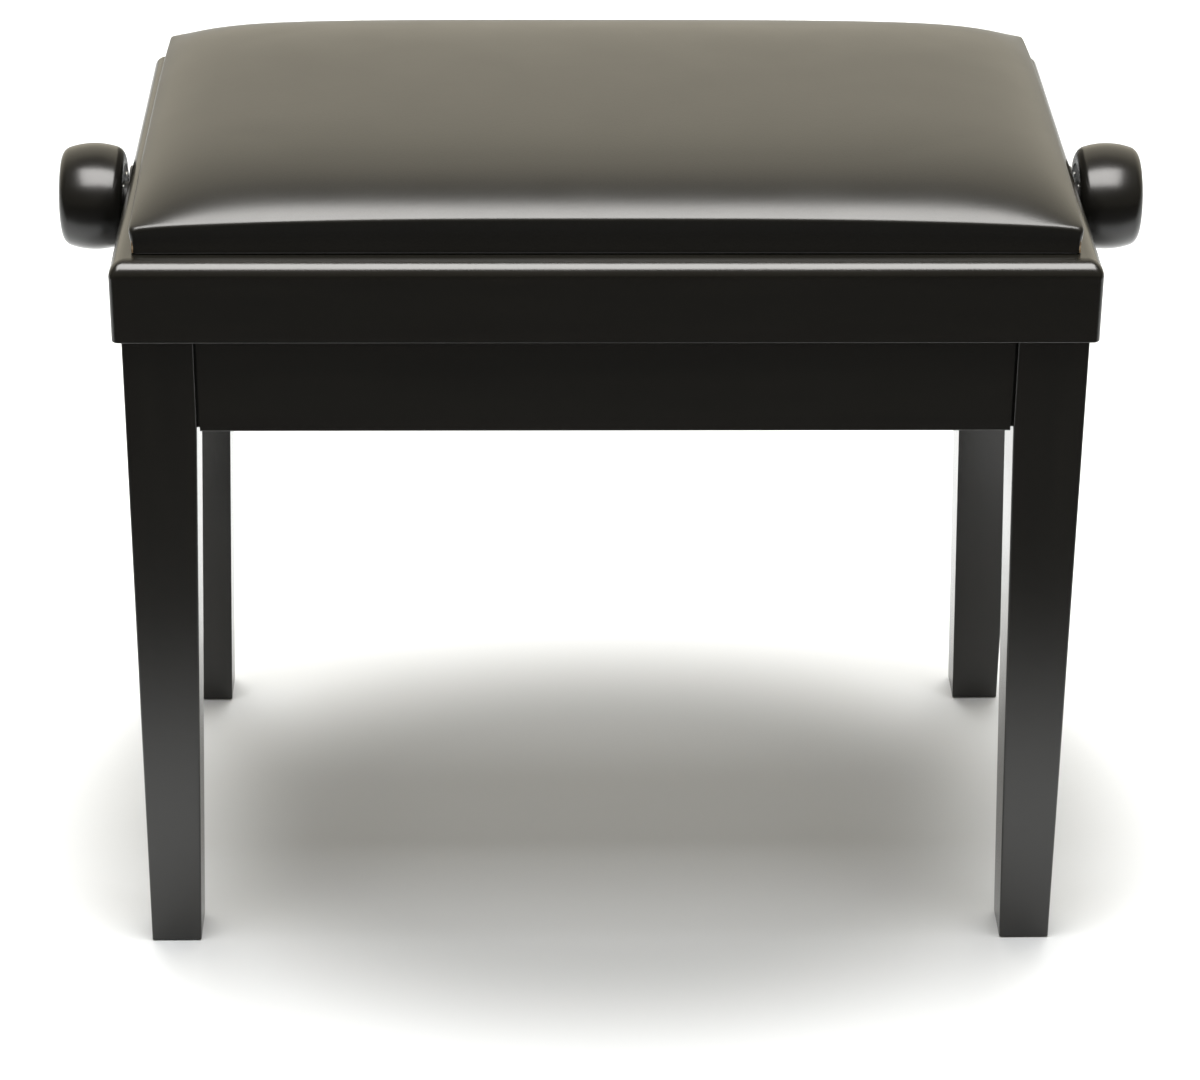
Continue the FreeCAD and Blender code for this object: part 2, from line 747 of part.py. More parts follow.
nothing = as_size(0)
pin = size["pin_radius"]
outer_arm_end = size["outer_arm_y"] + size["arm_wall"]
inner_arm_end = size["inner_arm_y"] + size["arm_wall"]
shoulder = size["outer_arm_y"] - 0.5
spacer_end = size["rail_y"]

keep(stepped_axle("lower_fixed_axle", size["pivot_x"], size["lower_pivot_height"], [
    (pin + 2, nothing, shoulder), (pin, shoulder, rail_back_y + 2),
    (pin + 2.5, rail_back_y + 0.1, rail_back_y + 2)]), "lower_fixed_axle")


def draw_arm(sketch, centre_hole, end_hole):
    length = size["arm_length"]
    draw_slot(sketch, -length, 0, 0, size["arm_width"] / 2)
    draw_circle(sketch, (0, 0), pin_hole)
    draw_circle(sketch, (-length / 2, 0), centre_hole)
    draw_circle(sketch, (-length, 0), end_hole)


def make_arm(label, a, b, height, angle, centre_hole, end_hole):
    arm = new_body(label)
    add_pad(arm, label + "_bar", "XZ_Plane", a, b,
            lambda sketch: draw_arm(sketch, centre_hole, end_hole))
    place(arm, size["pivot_x"], 0, height, rotation=Rotation(Vector(0, 1, 0), angle))
    return keep(arm, label)


centre_radius = size["centre_axle_radius"]
for end_name, end in ENDS.items():
    make_arm(f"outer_arm_{end_name}", size["outer_arm_y"] * end, outer_arm_end * end,
             size["lower_pivot_height"], arm_angle, centre_radius + 0.05, pin_hole)
    make_arm(f"inner_arm_{end_name}", size["inner_arm_y"] * end, inner_arm_end * end,
             upper_pivot_height, -arm_angle, centre_radius + size["open_pivot_gap"], pin + 0.05)

centre_x = (size["pivot_x"] + slide_x) / 2
centre_height = size["lower_pivot_height"] + size["pivot_rise"] / 2
keep(stepped_axle("centre_axle", centre_x, centre_height, [
    (centre_radius, nothing, outer_arm_end + 0.8),
    (centre_radius + 2, outer_arm_end + 0.1, outer_arm_end + 0.8)]), "centre_axle")
keep(stepped_axle("lower_slide_axle", slide_x, size["lower_pivot_height"], [
    (pin + 2, nothing, size["inner_arm_y"] - 0.1), (pin, size["inner_arm_y"] - 1, pin_reach)]),
    "lower_slide_axle")


def make_pair(label, x, height, outer, inner, a, b):
    """Front and rear rings on one axle, as one node."""
    front = ring(label + "_front", "Y", (x, height), outer, inner, -b, -a)
    rear = ring(label + "_rear", "Y", (x, height), outer, inner, a, b)
    pair = doc.addObject("Part::Compound", label)
    pair.Links = [front, rear]
    return keep(pair, label)


roller_start = outer_arm_end + 0.8
for level, height in (("lower", size["lower_pivot_height"]), ("upper", upper_pivot_height)):
    make_pair(f"{level}_rollers", slide_x, height, size["roller_radius"], pin + 0.05,
              roller_start, rail_back_y + 1)
    make_pair(f"{level}_roller_clips", slide_x, height, size["roller_radius"] + 2, pin + 0.05,
              clip_y, clip_y + 1)


# ---------------------------------------------------------------- trunnion with the spindle's nut

bar_thickness = as_size(16)
bar_height = as_size(18)
hub_width = as_size(30)
hub_height = as_size(28)
nut_body_radius = as_size(9)
nut_flange_radius = as_size(13)
nut_bore = size["spindle_radius"] + size["open_pivot_gap"]


def make_trunnion():
    bar = new_body("trunnion_bar_blank")
    half = bar_thickness / 2
    add_pad(bar, "trunnion_bar_pad", "XZ_Plane", -shoulder, shoulder,
            lambda sketch: draw_polygon(sketch, [
                (-half, -bar_height / 2), (half, -bar_height / 2),
                (half, bar_height / 2), (-half, bar_height / 2)]))
    add_pad(bar, "trunnion_hub_pad", "XZ_Plane", -hub_width / 2, hub_width / 2,
            lambda sketch: draw_polygon(sketch, [
                (-half, -hub_height / 2), (half, -hub_height / 2),
                (half, hub_height / 2), (-half, hub_height / 2)]))
    for k, (a, b) in enumerate(((shoulder - 1, pin_reach), (-pin_reach, -shoulder + 1))):
        add_pad(bar, f"trunnion_pin_{k}", "XZ_Plane", a, b,
                lambda sketch: draw_circle(sketch, (0, 0), pin))
    place(bar, slide_x, 0, upper_pivot_height)
    bore = rod("trunnion_nut_seat", "X", (0, upper_pivot_height), nut_body_radius + 0.05,
               slide_x - 20, slide_x + 20)
    keep(cut("trunnion_bar", bar, [bore]), "trunnion_bar")
    body = rod("nut_body", "X", (0, upper_pivot_height), nut_body_radius,
               slide_x - 9, slide_x + 11)
    flange = rod("nut_flange", "X", (0, upper_pivot_height), nut_flange_radius,
                 slide_x - 12, slide_x - 8.1)
    blank = fuse("spindle_nut_blank", [body, flange])
    thread = rod("nut_thread", "X", (0, upper_pivot_height), nut_bore, slide_x - 20, slide_x + 20)
    keep(cut("spindle_nut", blank, [thread]), "spindle_nut")


make_trunnion()


# ---------------------------------------------------------------- pivots of the inner arms

def make_pivot_rivet(name, end):
    centre = (size["pivot_x"], upper_pivot_height)
    a = size["inner_arm_y"] - 2.5
    b = rail_back_y + 2
    pieces = [
        rod(name + "_shank", "Y", centre, pin, a * end, b * end),
        rod(name + "_inner_head", "Y", centre, pin + 2.5, a * end, (size["inner_arm_y"] - 0.2) * end),
        rod(name + "_outer_head", "Y", centre, pin + 2.5, (rail_back_y + 0.1) * end, b * end)]
    return fuse(name, pieces)


pivot_rivets = doc.addObject("Part::Compound", "pivot_rivets")
pivot_rivets.Links = [make_pivot_rivet(f"pivot_rivet_{end_name}", end) for end_name, end in ENDS.items()]
keep(pivot_rivets, "pivot_rivets")
make_pair("pivot_spacers", size["pivot_x"], upper_pivot_height, pin + 3, pin + 0.1,
          inner_arm_end + 0.3, spacer_end - 0.1)


# ---------------------------------------------------------------- spindle ties, bushes, spindle

def make_tie(label, side):
    """A folded steel cross plate that holds one bush, with a tab at each rail."""
    tie = new_body(label + "_blank")
    wall = size["rail_wall"]
    near = size["tie_x"] - wall / 2
    far = size["tie_x"] + size["tie_tab"]
    edge, tab = size["rail_y"], size["rail_y"] - wall
    points = [(near, -edge), (far, -edge), (far, -tab), (near + wall, -tab),
              (near + wall, tab), (far, tab), (far, edge), (near, edge)]
    add_pad(tie, label + "_fold", "XY_Plane", size["tie_bottom"], size["tie_bottom"] + size["tie_height"],
            lambda sketch: draw_polygon(sketch, [(x * side, y) for x, y in points]))
    holes = [rod(label + "_bush_seat", "X", (0, spindle_height), bush_radius + 0.05,
                 (near - 5) * side, (near + 9) * side)]
    for end in ENDS.values():
        for k, height in enumerate(tie_rivet_heights):
            holes.append(rod(f"{label}_rivet_hole_{end}_{k}", "Y", (tie_rivet_x * side, height),
                             rivet_hole, (tab - 3) * end, (edge + 3) * end))
    return keep(cut(label, tie, holes), label)


bushes = []
for side_name, side in SIDES.items():
    make_tie(f"spindle_tie_{side_name}", side)
    near = size["tie_x"] - size["rail_wall"] / 2
    sleeve = rod(f"bush_sleeve_{side_name}", "X", (0, spindle_height), bush_radius,
                 (near - 1) * side, (near + 6) * side)
    flange = rod(f"bush_flange_{side_name}", "X", (0, spindle_height), bush_radius + 3,
                 (near - 2) * side, (near - 0.05) * side)
    blank = fuse(f"bush_blank_{side_name}", [sleeve, flange])
    bore = rod(f"bush_bore_{side_name}", "X", (0, spindle_height),
               size["spindle_radius"] + size["running_gap"], (near - 10) * side, (near + 10) * side)
    bushes.append(cut(f"bush_{side_name}", blank, [bore]))
spindle_bushes = doc.addObject("Part::Compound", "spindle_bushes")
spindle_bushes.Links = bushes
keep(spindle_bushes, "spindle_bushes")

bush_inner_face = size["tie_x"] - size["rail_wall"] / 2 - 2
bush_outer_face = size["tie_x"] - size["rail_wall"] / 2 + 6
collars = doc.addObject("Part::Compound", "thrust_collars")
collars.Links = [
    ring("thrust_collar_inner", "X", (0, spindle_height), collar_radius, size["spindle_radius"] + 0.05,
         bush_inner_face - 8.4, bush_inner_face - 0.4),
    ring("thrust_collar_outer", "X", (0, spindle_height), collar_radius, size["spindle_radius"] + 0.05,
         bush_outer_face + 0.4, bush_outer_face + 8.4)]
keep(collars, "thrust_collars")

keep(rod("spindle_rod", "X", (0, spindle_height), size["spindle_radius"],
         -size["spindle_half_length"], size["spindle_half_length"]), "spindle_rod")

# Tie rivets: a shank through the web and the tab, with a head on each side.
rivet = fuse("tie_rivet_pattern", [
    rod("tie_rivet_shank", "Y", (0, 0), rivet_radius, size["rail_y"] - size["rail_wall"] - 1.4,
        rail_back_y + 1.4),
    rod("tie_rivet_head", "Y", (0, 0), rivet_radius + 2, rail_back_y + 0.05, rail_back_y + 1.4),
    rod("tie_rivet_tail", "Y", (0, 0), rivet_radius + 1.5, size["rail_y"] - size["rail_wall"] - 1.4,
        size["rail_y"] - size["rail_wall"] - 0.05)])
doc.recompute()
half_turn = Rotation(Vector(0, 0, 1), 180)
group("tie_rivets", [
    moved(rivet.Shape, (x.value, 0, height.value), None if end > 0 else half_turn)
    for x in (-tie_rivet_x, tie_rivet_x) for height in tie_rivet_heights for end in ENDS.values()])


# ---------------------------------------------------------------- knobs

def arc_radius(chord, rise):
    return (chord * chord / 4 + rise * rise) / (rise * 2)


def draw_knob(sketch):
    """Half section along +X: a barrel with a domed outer face, a bore and a seat for the flange."""
    length, radius, rim = size["knob_length"], size["knob_radius"], size["knob_rim_radius"]
    crown, bore = size["knob_crown"], size["spindle_radius"] + 0.05
    depth = size["spindle_half_length"] - size["knob_start"] + 0.2
    seat, seat_depth = size["knob_seat_radius"], as_size(2.2)
    points = [(seat_depth, bore), (seat_depth, seat), (nothing, seat + 0.4), (nothing, rim),
              (length - crown, rim), (length, nothing), (depth, nothing), (depth, bore)]
    spots = [Vector(as_size(x).value, as_size(y).value, 0) for x, y in points]
    barrel, dome = 3, 4
    barrel_chord = length - crown
    through = {barrel: Vector(barrel_chord.value / 2, radius.value, 0),
               dome: Vector(length.value - crown.value / 4, rim.value / 2, 0)}
    count = len(points)
    for k in range(count):
        start, finish = spots[k], spots[(k + 1) % count]
        edge = Part.Arc(start, through[k], finish) if k in through else Part.LineSegment(start, finish)
        sketch.addGeometry(edge, False)
    for k in range(count):
        # An arc drawn clockwise is stored the other way round, so its ends swap.
        tail = 1 if k in through else 2
        head = 2 if (k + 1) % count in through else 1
        sketch.addConstraint(Sketcher.Constraint("Coincident", k, tail, (k + 1) % count, head))
    for k, point in enumerate(points):
        fix_point(sketch, k, 2 if k in through else 1, point)
    barrel_radius = arc_radius(barrel_chord, radius - rim)
    index = sketch.addConstraint(Sketcher.Constraint("Radius", barrel, barrel_radius.value))
    sketch.renameConstraint(index, "BarrelRadius")
    bind(sketch, "Constraints.BarrelRadius", barrel_radius)
    sketch.addConstraint(Sketcher.Constraint("PointOnObject", dome, 3, -1))


def make_knob(label, side):
    knob = new_body(label)
    profile = new_sketch(knob, label + "_profile", "XZ_Plane", 0)
    draw_knob(profile)
    turned = knob.newObject("PartDesign::Revolution", label + "_turned")
    turned.Profile = profile
    turned.ReferenceAxis = (profile, ["H_Axis"])
    turned.Angle = 360
    knob.Tip = turned
    rim = size["knob_rim_radius"].value

    def is_rim(edge):
        circle = not edge.Degenerated and isinstance(edge.Curve, Part.Circle)
        return circle and abs(edge.Curve.Radius - rim) < 0.05

    round_edges(knob, label + "_rims", size["knob_rim_fillet"], is_rim)
    place(knob, size["knob_start"] * side, 0, spindle_height,
          rotation=Rotation() if side > 0 else half_turn)
    return keep(knob, label)


flange_radius = as_size(18.6)
knob_screw_circle = 14.0
knob_screw_radius = as_size(1.55)
flanges = []
knob_screws = []
for side_name, side in SIDES.items():
    make_knob(f"knob_{side_name}", side)
    start, seat = size["hub_start"], size["knob_start"]
    flange_back = seat + 2.15
    hub = rod(f"knob_hub_{side_name}", "X", (0, spindle_height), size["spindle_radius"] + 3.5,
              start * side, flange_back * side)
    disc = rod(f"knob_disc_{side_name}", "X", (0, spindle_height), flange_radius,
               (seat + 0.4) * side, flange_back * side)
    blank = fuse(f"knob_flange_blank_{side_name}", [hub, disc])
    cutters = [rod(f"knob_flange_bore_{side_name}", "X", (0, spindle_height),
                   size["spindle_radius"] + 0.05, (start - 1) * side, (flange_back + 1) * side)]
    for k in range(4):
        angle = math.radians(45 + 90 * k)
        spot = (knob_screw_circle * math.cos(angle), spindle_height + knob_screw_circle * math.sin(angle))
        cutters.append(rod(f"knob_flange_hole_{side_name}_{k}", "X", spot,
                           knob_screw_radius + size["pilot_gap"],
                           (seat - 1) * side, (flange_back + 1) * side))
        knob_screws.append(rod(f"knob_screw_{side_name}_{k}", "X", spot, knob_screw_radius,
                               (seat - 0.2) * side, (flange_back - 0.05) * side))
    flanges.append(cut(f"knob_flange_{side_name}", blank, cutters))
knob_flanges = doc.addObject("Part::Compound", "knob_flanges")
knob_flanges.Links = flanges
keep(knob_flanges, "knob_flanges")
knob_flange_screws = doc.addObject("Part::Compound", "knob_screws")
knob_flange_screws.Links = knob_screws
keep(knob_flange_screws, "knob_screws")


# ---------------------------------------------------------------- seat frame

frame = new_body("seat_frame_blank")


def draw_rectangle(sketch, x, y):
    draw_polygon(sketch, [(-x, -y), (x, -y), (x, y), (-x, y)])


add_pad(frame, "seat_frame_pad", "XY_Plane", frame_bottom, size["frame_top"],
        lambda sketch: draw_rectangle(sketch, half_width, half_depth))
add_pocket(frame, "seat_frame_opening", "XY_Plane", frame_bottom, size["frame_top"],
           lambda sketch: draw_rectangle(sketch, inner_x, inner_y))
round_edges(frame, "seat_frame_corners", size["frame_corner_radius"],
            lambda edge: is_upright(edge) and abs(edge.CenterOfMass.x) > half_width.value - 1)


def on_outline(edge, height):
    box = edge.BoundBox
    outside = max(abs(box.XMin), abs(box.XMax)) > half_width.value - 5
    outside = outside and (abs(box.XMin) > half_width.value - 5 and abs(box.XMax) > half_width.value - 5
                           or max(abs(box.YMin), abs(box.YMax)) > half_depth.value - 5)
    return at_height(edge, height) and outside


round_edges(frame, "seat_frame_top_edge", size["frame_top_radius"],
            lambda edge: on_outline(edge, size["frame_top"]))
round_edges(frame, "seat_frame_bottom_edge", size["frame_edge_radius"],
            lambda edge: on_outline(edge, frame_bottom))
spindle_hole = rod("seat_frame_spindle_hole", "X", (0, spindle_height), size["spindle_radius"] + 3,
                   -half_width - 5, half_width + 5)
bored_frame = cut("seat_frame_bored", frame, [spindle_hole])


def make_wedge(name, points):
    wedge = new_body(name)
    add_pad(wedge, name + "_pad", "XY_Plane", frame_bottom - 5, size["frame_top"] + 5,
            lambda sketch: draw_polygon(sketch, points))
    return wedge


def make_frame_rail(label, axis, direction):
    """One mitred side of the frame."""
    spare = 3.0
    far = (half_width + spare, half_depth + spare)
    near = (inner_x - spare, inner_y - spare)
    if axis == "X":
        points = [(-far[0], far[1] * direction), (far[0], far[1] * direction),
                  (near[0], near[1] * direction), (-near[0], near[1] * direction)]
    else:
        points = [(far[0] * direction, -far[1]), (far[0] * direction, far[1]),
                  (near[0] * direction, near[1]), (near[0] * direction, -near[1])]
    rail = doc.addObject("Part::Common", label)
    rail.Base = bored_frame
    rail.Tool = make_wedge(label + "_wedge", points)
    return keep(rail, label)


for end_name, end in ENDS.items():
    make_frame_rail(f"frame_rail_{end_name}", "X", end)
for side_name, side in SIDES.items():
    make_frame_rail(f"frame_rail_{side_name}", "Y", side)

block = new_body("glue_block_pattern")
block_side = size["glue_block_side"]
block_bottom = size["frame_top"] - size["glue_block_height"]
block_screw_inset = block_side * 0.3
add_pad(block, "glue_block_pad", "XY_Plane", block_bottom, size["frame_top"],
        lambda sketch: draw_polygon(sketch, [(0, 0), (-block_side, 0), (0, -block_side)]))
block_hole = rod("glue_block_hole", "Z", (-block_screw_inset, -block_screw_inset),
                 size["screw_radius"] + 0.3, block_bottom - 5, size["frame_top"] + 5)
drilled_block = cut("glue_block_drilled", block, [block_hole])
CORNER_TURNS = ((1, 1, 0), (-1, 1, 90), (-1, -1, 180), (1, -1, 270))
group("frame_glue_blocks", [
    moved(drilled_block.Shape, (inner_x.value * side, inner_y.value * end, 0),
          Rotation(Vector(0, 0, 1), turn))
    for side, end, turn in CORNER_TURNS])

for side_name, side in SIDES.items():
    plate = ring(f"escutcheon_{side_name}", "X", (0, spindle_height), size["escutcheon_radius"],
                 size["spindle_radius"] + 3, half_width * side,
                 (half_width + size["escutcheon_thickness"]) * side)
    keep(plate, f"escutcheon_{side_name}")


# ---------------------------------------------------------------- upholstered seat

board_bottom = size["frame_top"] + size["cover_thickness"]
board_top = board_bottom + size["board_thickness"]
board_blank = new_body("seat_board_blank")
add_pad(board_blank, "seat_board_pad", "XY_Plane", board_bottom, board_top,
        lambda sketch: draw_rectangle(sketch, size["board_width"] / 2, size["board_depth"] / 2))
board_pilots = []
block_screw_x = inner_x - block_screw_inset
block_screw_y = inner_y - block_screw_inset
board_screw_spots = [(block_screw_x * side, block_screw_y * end)
                     for side in SIDES.values() for end in ENDS.values()]
rail_screw_spots = [(as_size(x), upper_screw_y * end) for x in UPPER_SCREW_X for end in ENDS.values()]
for k, spot in enumerate(board_screw_spots + rail_screw_spots):
    board_pilots.append(rod(f"seat_board_pilot_{k}", "Z", spot, pilot_radius,
                            board_bottom - 1, board_bottom + 10))
keep(cut("seat_board", board_blank, board_pilots), "seat_board")


def crowned_pad(name, bottom, skin):
    """A cushion shape: a box whose top is crowned along both axes, grown by the skin all round."""
    box_x = size["board_width"] / 2 + skin
    box_y = size["board_depth"] / 2 + skin
    top = size["frame_top"] + size["seat_crown_height"] + skin
    sagitta = size["seat_crown_height"] - size["seat_side_height"]
    shape = box(name + "_box", (-box_x, box_x), (-box_y, box_y), (bottom, top))
    for axis, reach in (("X", size["board_depth"] / 2), ("Y", size["board_width"] / 2)):
        radius = (reach * reach + sagitta * sagitta) / (sagitta * 2) + skin
        crown = rod(f"{name}_crown_{axis}", axis, (nothing, top - radius), radius, -400, 400)
        common = doc.addObject("Part::Common", f"{name}_crowned_{axis}")
        common.Base = shape
        common.Tool = crown
        shape = common
    return shape


foam = crowned_pad("seat_foam", board_top, nothing)
keep(foam, "seat_foam")

cover_outside = crowned_pad("seat_cover_outside", size["frame_top"], size["cover_thickness"])
cover_inside = crowned_pad("seat_cover_inside", board_bottom, nothing)
opening_x = size["board_width"] / 2 - size["cover_fold"]
opening_y = size["board_depth"] / 2 - size["cover_fold"]
cover_opening = box("seat_cover_opening", (-opening_x, opening_x), (-opening_y, opening_y),
                    (size["frame_top"] - 1, size["frame_top"] + 3))
cover_cutters = [cover_inside, cover_opening]
for k, spot in enumerate(board_screw_spots + rail_screw_spots):
    cover_cutters.append(rod(f"seat_cover_hole_{k}", "Z", spot, size["screw_radius"] + 0.3,
                             size["frame_top"] - 1, size["frame_top"] + size["cover_thickness"] * 1.5))
cover_removed = doc.addObject("Part::MultiFuse", "seat_cover_removed")
cover_removed.Shapes = cover_cutters
cover = doc.addObject("Part::Cut", "seat_cover")
cover.Base = cover_outside
cover.Tool = cover_removed
keep(cover, "seat_cover")

STAPLE_PITCH = 26.0
STAPLE_CROWN = 10.0
STAPLE_LEG = 6.0
STAPLE_WIRE = 1.0
STAPLE_THICKNESS = 0.6
STAPLES_ALONG_X = 15
STAPLES_ALONG_Y = 7


def make_staple():
    """A staple seen from below: its crown lies under the fold, its legs stand up into the board."""
    half = STAPLE_CROWN / 2
    edge = -STAPLE_WIRE / 2
    crown = Part.makeBox(STAPLE_CROWN, STAPLE_WIRE, STAPLE_THICKNESS, Vector(-half, edge, 0))
    legs = [Part.makeBox(STAPLE_THICKNESS, STAPLE_WIRE, STAPLE_LEG, Vector(x, edge, 0))
            for x in (-half, half - STAPLE_THICKNESS)]
    return crown.multiFuse(legs).removeSplitter()


def staple_row(count, place_one):
    middle = (count - 1) / 2
    return [place_one((k - middle) * STAPLE_PITCH) for k in range(count)]


staple = make_staple()
staple_inset = 6.0
staple_level = size["frame_top"].value - STAPLE_THICKNESS
staple_x = opening_x.value + staple_inset
staple_y = opening_y.value + staple_inset
quarter_turn = Rotation(Vector(0, 0, 1), 90)
staples = []
for end in ENDS.values():
    staples += staple_row(STAPLES_ALONG_X, lambda x: moved(staple, (x, staple_y * end, staple_level)))
for side in SIDES.values():
    staples += staple_row(STAPLES_ALONG_Y,
                          lambda y: moved(staple, (staple_x * side, y, staple_level), quarter_turn))
group("cover_staples", staples)

rail_flange_bottom = size["frame_top"] - size["rail_wall"]
group("upper_rail_screws", [
    moved(short_screw.Shape, (x.value, y.value, rail_flange_bottom.value)) for x, y in rail_screw_spots])
long_screw = make_screw("board_screw_pattern", 34.0)
group("board_screws", [
    moved(long_screw.Shape, (x.value, y.value, block_bottom.value)) for x, y in board_screw_spots])


# ---------------------------------------------------------------- check and write

doc.recompute()
for thing in doc.Objects:
    bad = [state for state in thing.State if state in ("Invalid", "Error")]
    if bad:
        raise RuntimeError(f"{thing.Label}: {bad}")
os.makedirs("parts", exist_ok=True)
for node in nodes:
    shape = node.Shape
    if shape.isNull() or not shape.isValid() or not shape.Solids:
        raise RuntimeError(f"{node.Label}: its shape is not a valid solid")
    shape.exportStep(f"parts/{node.Label}.step")
print(len(nodes), "nodes written")
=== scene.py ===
import json
import math

import bmesh
import bpy
import numpy as np
from mathutils import Matrix, Vector

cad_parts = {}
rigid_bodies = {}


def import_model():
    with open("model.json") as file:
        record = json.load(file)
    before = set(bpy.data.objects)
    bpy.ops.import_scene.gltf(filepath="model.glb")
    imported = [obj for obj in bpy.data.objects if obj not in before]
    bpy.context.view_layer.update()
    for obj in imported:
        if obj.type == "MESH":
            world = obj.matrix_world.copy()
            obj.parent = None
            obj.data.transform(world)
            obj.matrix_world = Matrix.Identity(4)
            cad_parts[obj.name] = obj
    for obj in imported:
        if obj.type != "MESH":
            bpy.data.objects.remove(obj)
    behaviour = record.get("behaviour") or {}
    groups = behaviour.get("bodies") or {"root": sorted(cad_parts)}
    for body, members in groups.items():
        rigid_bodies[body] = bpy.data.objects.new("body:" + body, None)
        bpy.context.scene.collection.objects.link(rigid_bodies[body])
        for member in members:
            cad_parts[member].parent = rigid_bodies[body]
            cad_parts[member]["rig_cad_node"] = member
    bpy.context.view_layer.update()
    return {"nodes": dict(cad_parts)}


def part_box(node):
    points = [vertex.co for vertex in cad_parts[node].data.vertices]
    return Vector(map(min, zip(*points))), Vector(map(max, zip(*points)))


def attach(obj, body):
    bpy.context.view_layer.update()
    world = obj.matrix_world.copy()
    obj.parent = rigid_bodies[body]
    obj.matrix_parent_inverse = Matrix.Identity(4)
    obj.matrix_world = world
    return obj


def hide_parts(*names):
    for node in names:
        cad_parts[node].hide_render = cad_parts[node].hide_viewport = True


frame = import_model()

NODES = frame["nodes"]
MM = 0.001


# ---------------------------------------------------------------- places taken from the frame

def corner_pair(node):
    low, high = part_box(node)
    return np.array(low), np.array(high)


COVER_LOW, COVER_HIGH = corner_pair("seat_cover")
ROD_LOW, ROD_HIGH = corner_pair("spindle_rod")
FRAME_TOP = corner_pair("frame_rail_front")[1][2]
SEAT_TOP = COVER_HIGH[2]


# ---------------------------------------------------------------- material building blocks

class Look:
    """One procedural material: a node tree around a Principled shader."""

    def __init__(self, name, slot, color, roughness, **sockets):
        self.material = bpy.data.materials.new(name)
        self.material.use_nodes = True
        self.slot = slot
        self.tree = self.material.node_tree
        self.tree.nodes.clear()
        self.output = self.add("ShaderNodeOutputMaterial")
        self.shader = self.add("ShaderNodeBsdfPrincipled")
        self.tree.links.new(self.shader.outputs["BSDF"], self.output.inputs["Surface"])
        self.shader.inputs["Base Color"].default_value = (*color, 1.0)
        self.shader.inputs["Roughness"].default_value = roughness
        for socket, value in sockets.items():
            self.shader.inputs[socket.replace("_", " ")].default_value = value
        self.coords = self.add("ShaderNodeTexCoord").outputs["Object"]

    def add(self, kind, **values):
        node = self.tree.nodes.new(kind)
        for name, value in values.items():
            setattr(node, name, value)
        return node

    def link(self, out, socket):
        self.tree.links.new(out, socket)

    def stretched(self, scale):
        """Object coordinates scaled per axis, so that a pattern can run along the grain."""
        node = self.add("ShaderNodeMapping")
        node.inputs["Scale"].default_value = scale
        self.link(self.coords, node.inputs["Vector"])
        return node.outputs["Vector"]

    def noise(self, scale, detail=3.0, vector=None, roughness=0.5, distortion=0.0):
        node = self.add("ShaderNodeTexNoise")
        node.inputs["Scale"].default_value = scale
        node.inputs["Detail"].default_value = detail
        node.inputs["Roughness"].default_value = roughness
        node.inputs["Distortion"].default_value = distortion
        self.link(vector or self.coords, node.inputs["Vector"])
        return node.outputs["Fac"]

    def cells(self, scale, vector=None, feature="F1", smoothness=None):
        node = self.add("ShaderNodeTexVoronoi", feature=feature)
        node.inputs["Scale"].default_value = scale
        if smoothness is not None:
            node.inputs["Smoothness"].default_value = smoothness
        self.link(vector or self.coords, node.inputs["Vector"])
        return node.outputs["Distance"]

    def ramp(self, value, stops):
        """Colours or greys along a 0 to 1 value."""
        node = self.add("ShaderNodeValToRGB")
        elements = node.color_ramp.elements
        while len(elements) < len(stops):
            elements.new(0.5)
        for element, (place, color) in zip(elements, stops):
            element.position = place
            element.color = (color, color, color, 1) if np.isscalar(color) else (*color, 1)
        self.link(value, node.inputs["Fac"])
        return node.outputs["Color"]

    def spread(self, value, low, high):
        """Moves a 0 to 1 value to the range from low to high."""
        node = self.add("ShaderNodeMapRange")
        node.inputs["To Min"].default_value = low
        node.inputs["To Max"].default_value = high
        self.link(value, node.inputs["Value"])
        return node.outputs["Result"]

    def math(self, operation, first, second):
        node = self.add("ShaderNodeMath", operation=operation)
        for k, value in enumerate((first, second)):
            if np.isscalar(value):
                node.inputs[k].default_value = value
            else:
                self.link(value, node.inputs[k])
        return node.outputs["Value"]

    def mix(self, share, first, second, blend="MIX"):
        node = self.add("ShaderNodeMix", data_type="RGBA", blend_type=blend)
        sockets = {"Factor": share, "A": first, "B": second}
        for socket in node.inputs:
            if socket.name in sockets and socket.enabled:
                value = sockets[socket.name]
                if np.isscalar(value):
                    socket.default_value = value
                elif isinstance(value, tuple):
                    socket.default_value = (*value, 1)
                else:
                    self.link(value, socket)
        return [s for s in node.outputs if s.enabled][0]

    def color(self, out):
        self.link(out, self.shader.inputs["Base Color"])

    def roughness(self, value, low, high):
        self.link(self.spread(value, low, high), self.shader.inputs["Roughness"])

    def bump(self, *layers):
        """Layers of (height, strength, distance in metres), one on top of the other."""
        normal = None
        for height, strength, distance in layers:
            node = self.add("ShaderNodeBump")
            node.inputs["Strength"].default_value = strength
            node.inputs["Distance"].default_value = distance
            self.link(height, node.inputs["Height"])
            if normal is not None:
                self.link(normal, node.inputs["Normal"])
            normal = node.outputs["Normal"]
        self.link(normal, self.shader.inputs["Normal"])

    def cover(self, *objects):
        for thing in objects:
            thing.data.materials.clear()
            thing.data.materials.append(self.material)


# scales that stretch a pattern along one axis
ALONG = {"X": (0.06, 1.0, 1.0), "Y": (1.0, 0.06, 1.0), "Z": (1.0, 1.0, 0.06)}


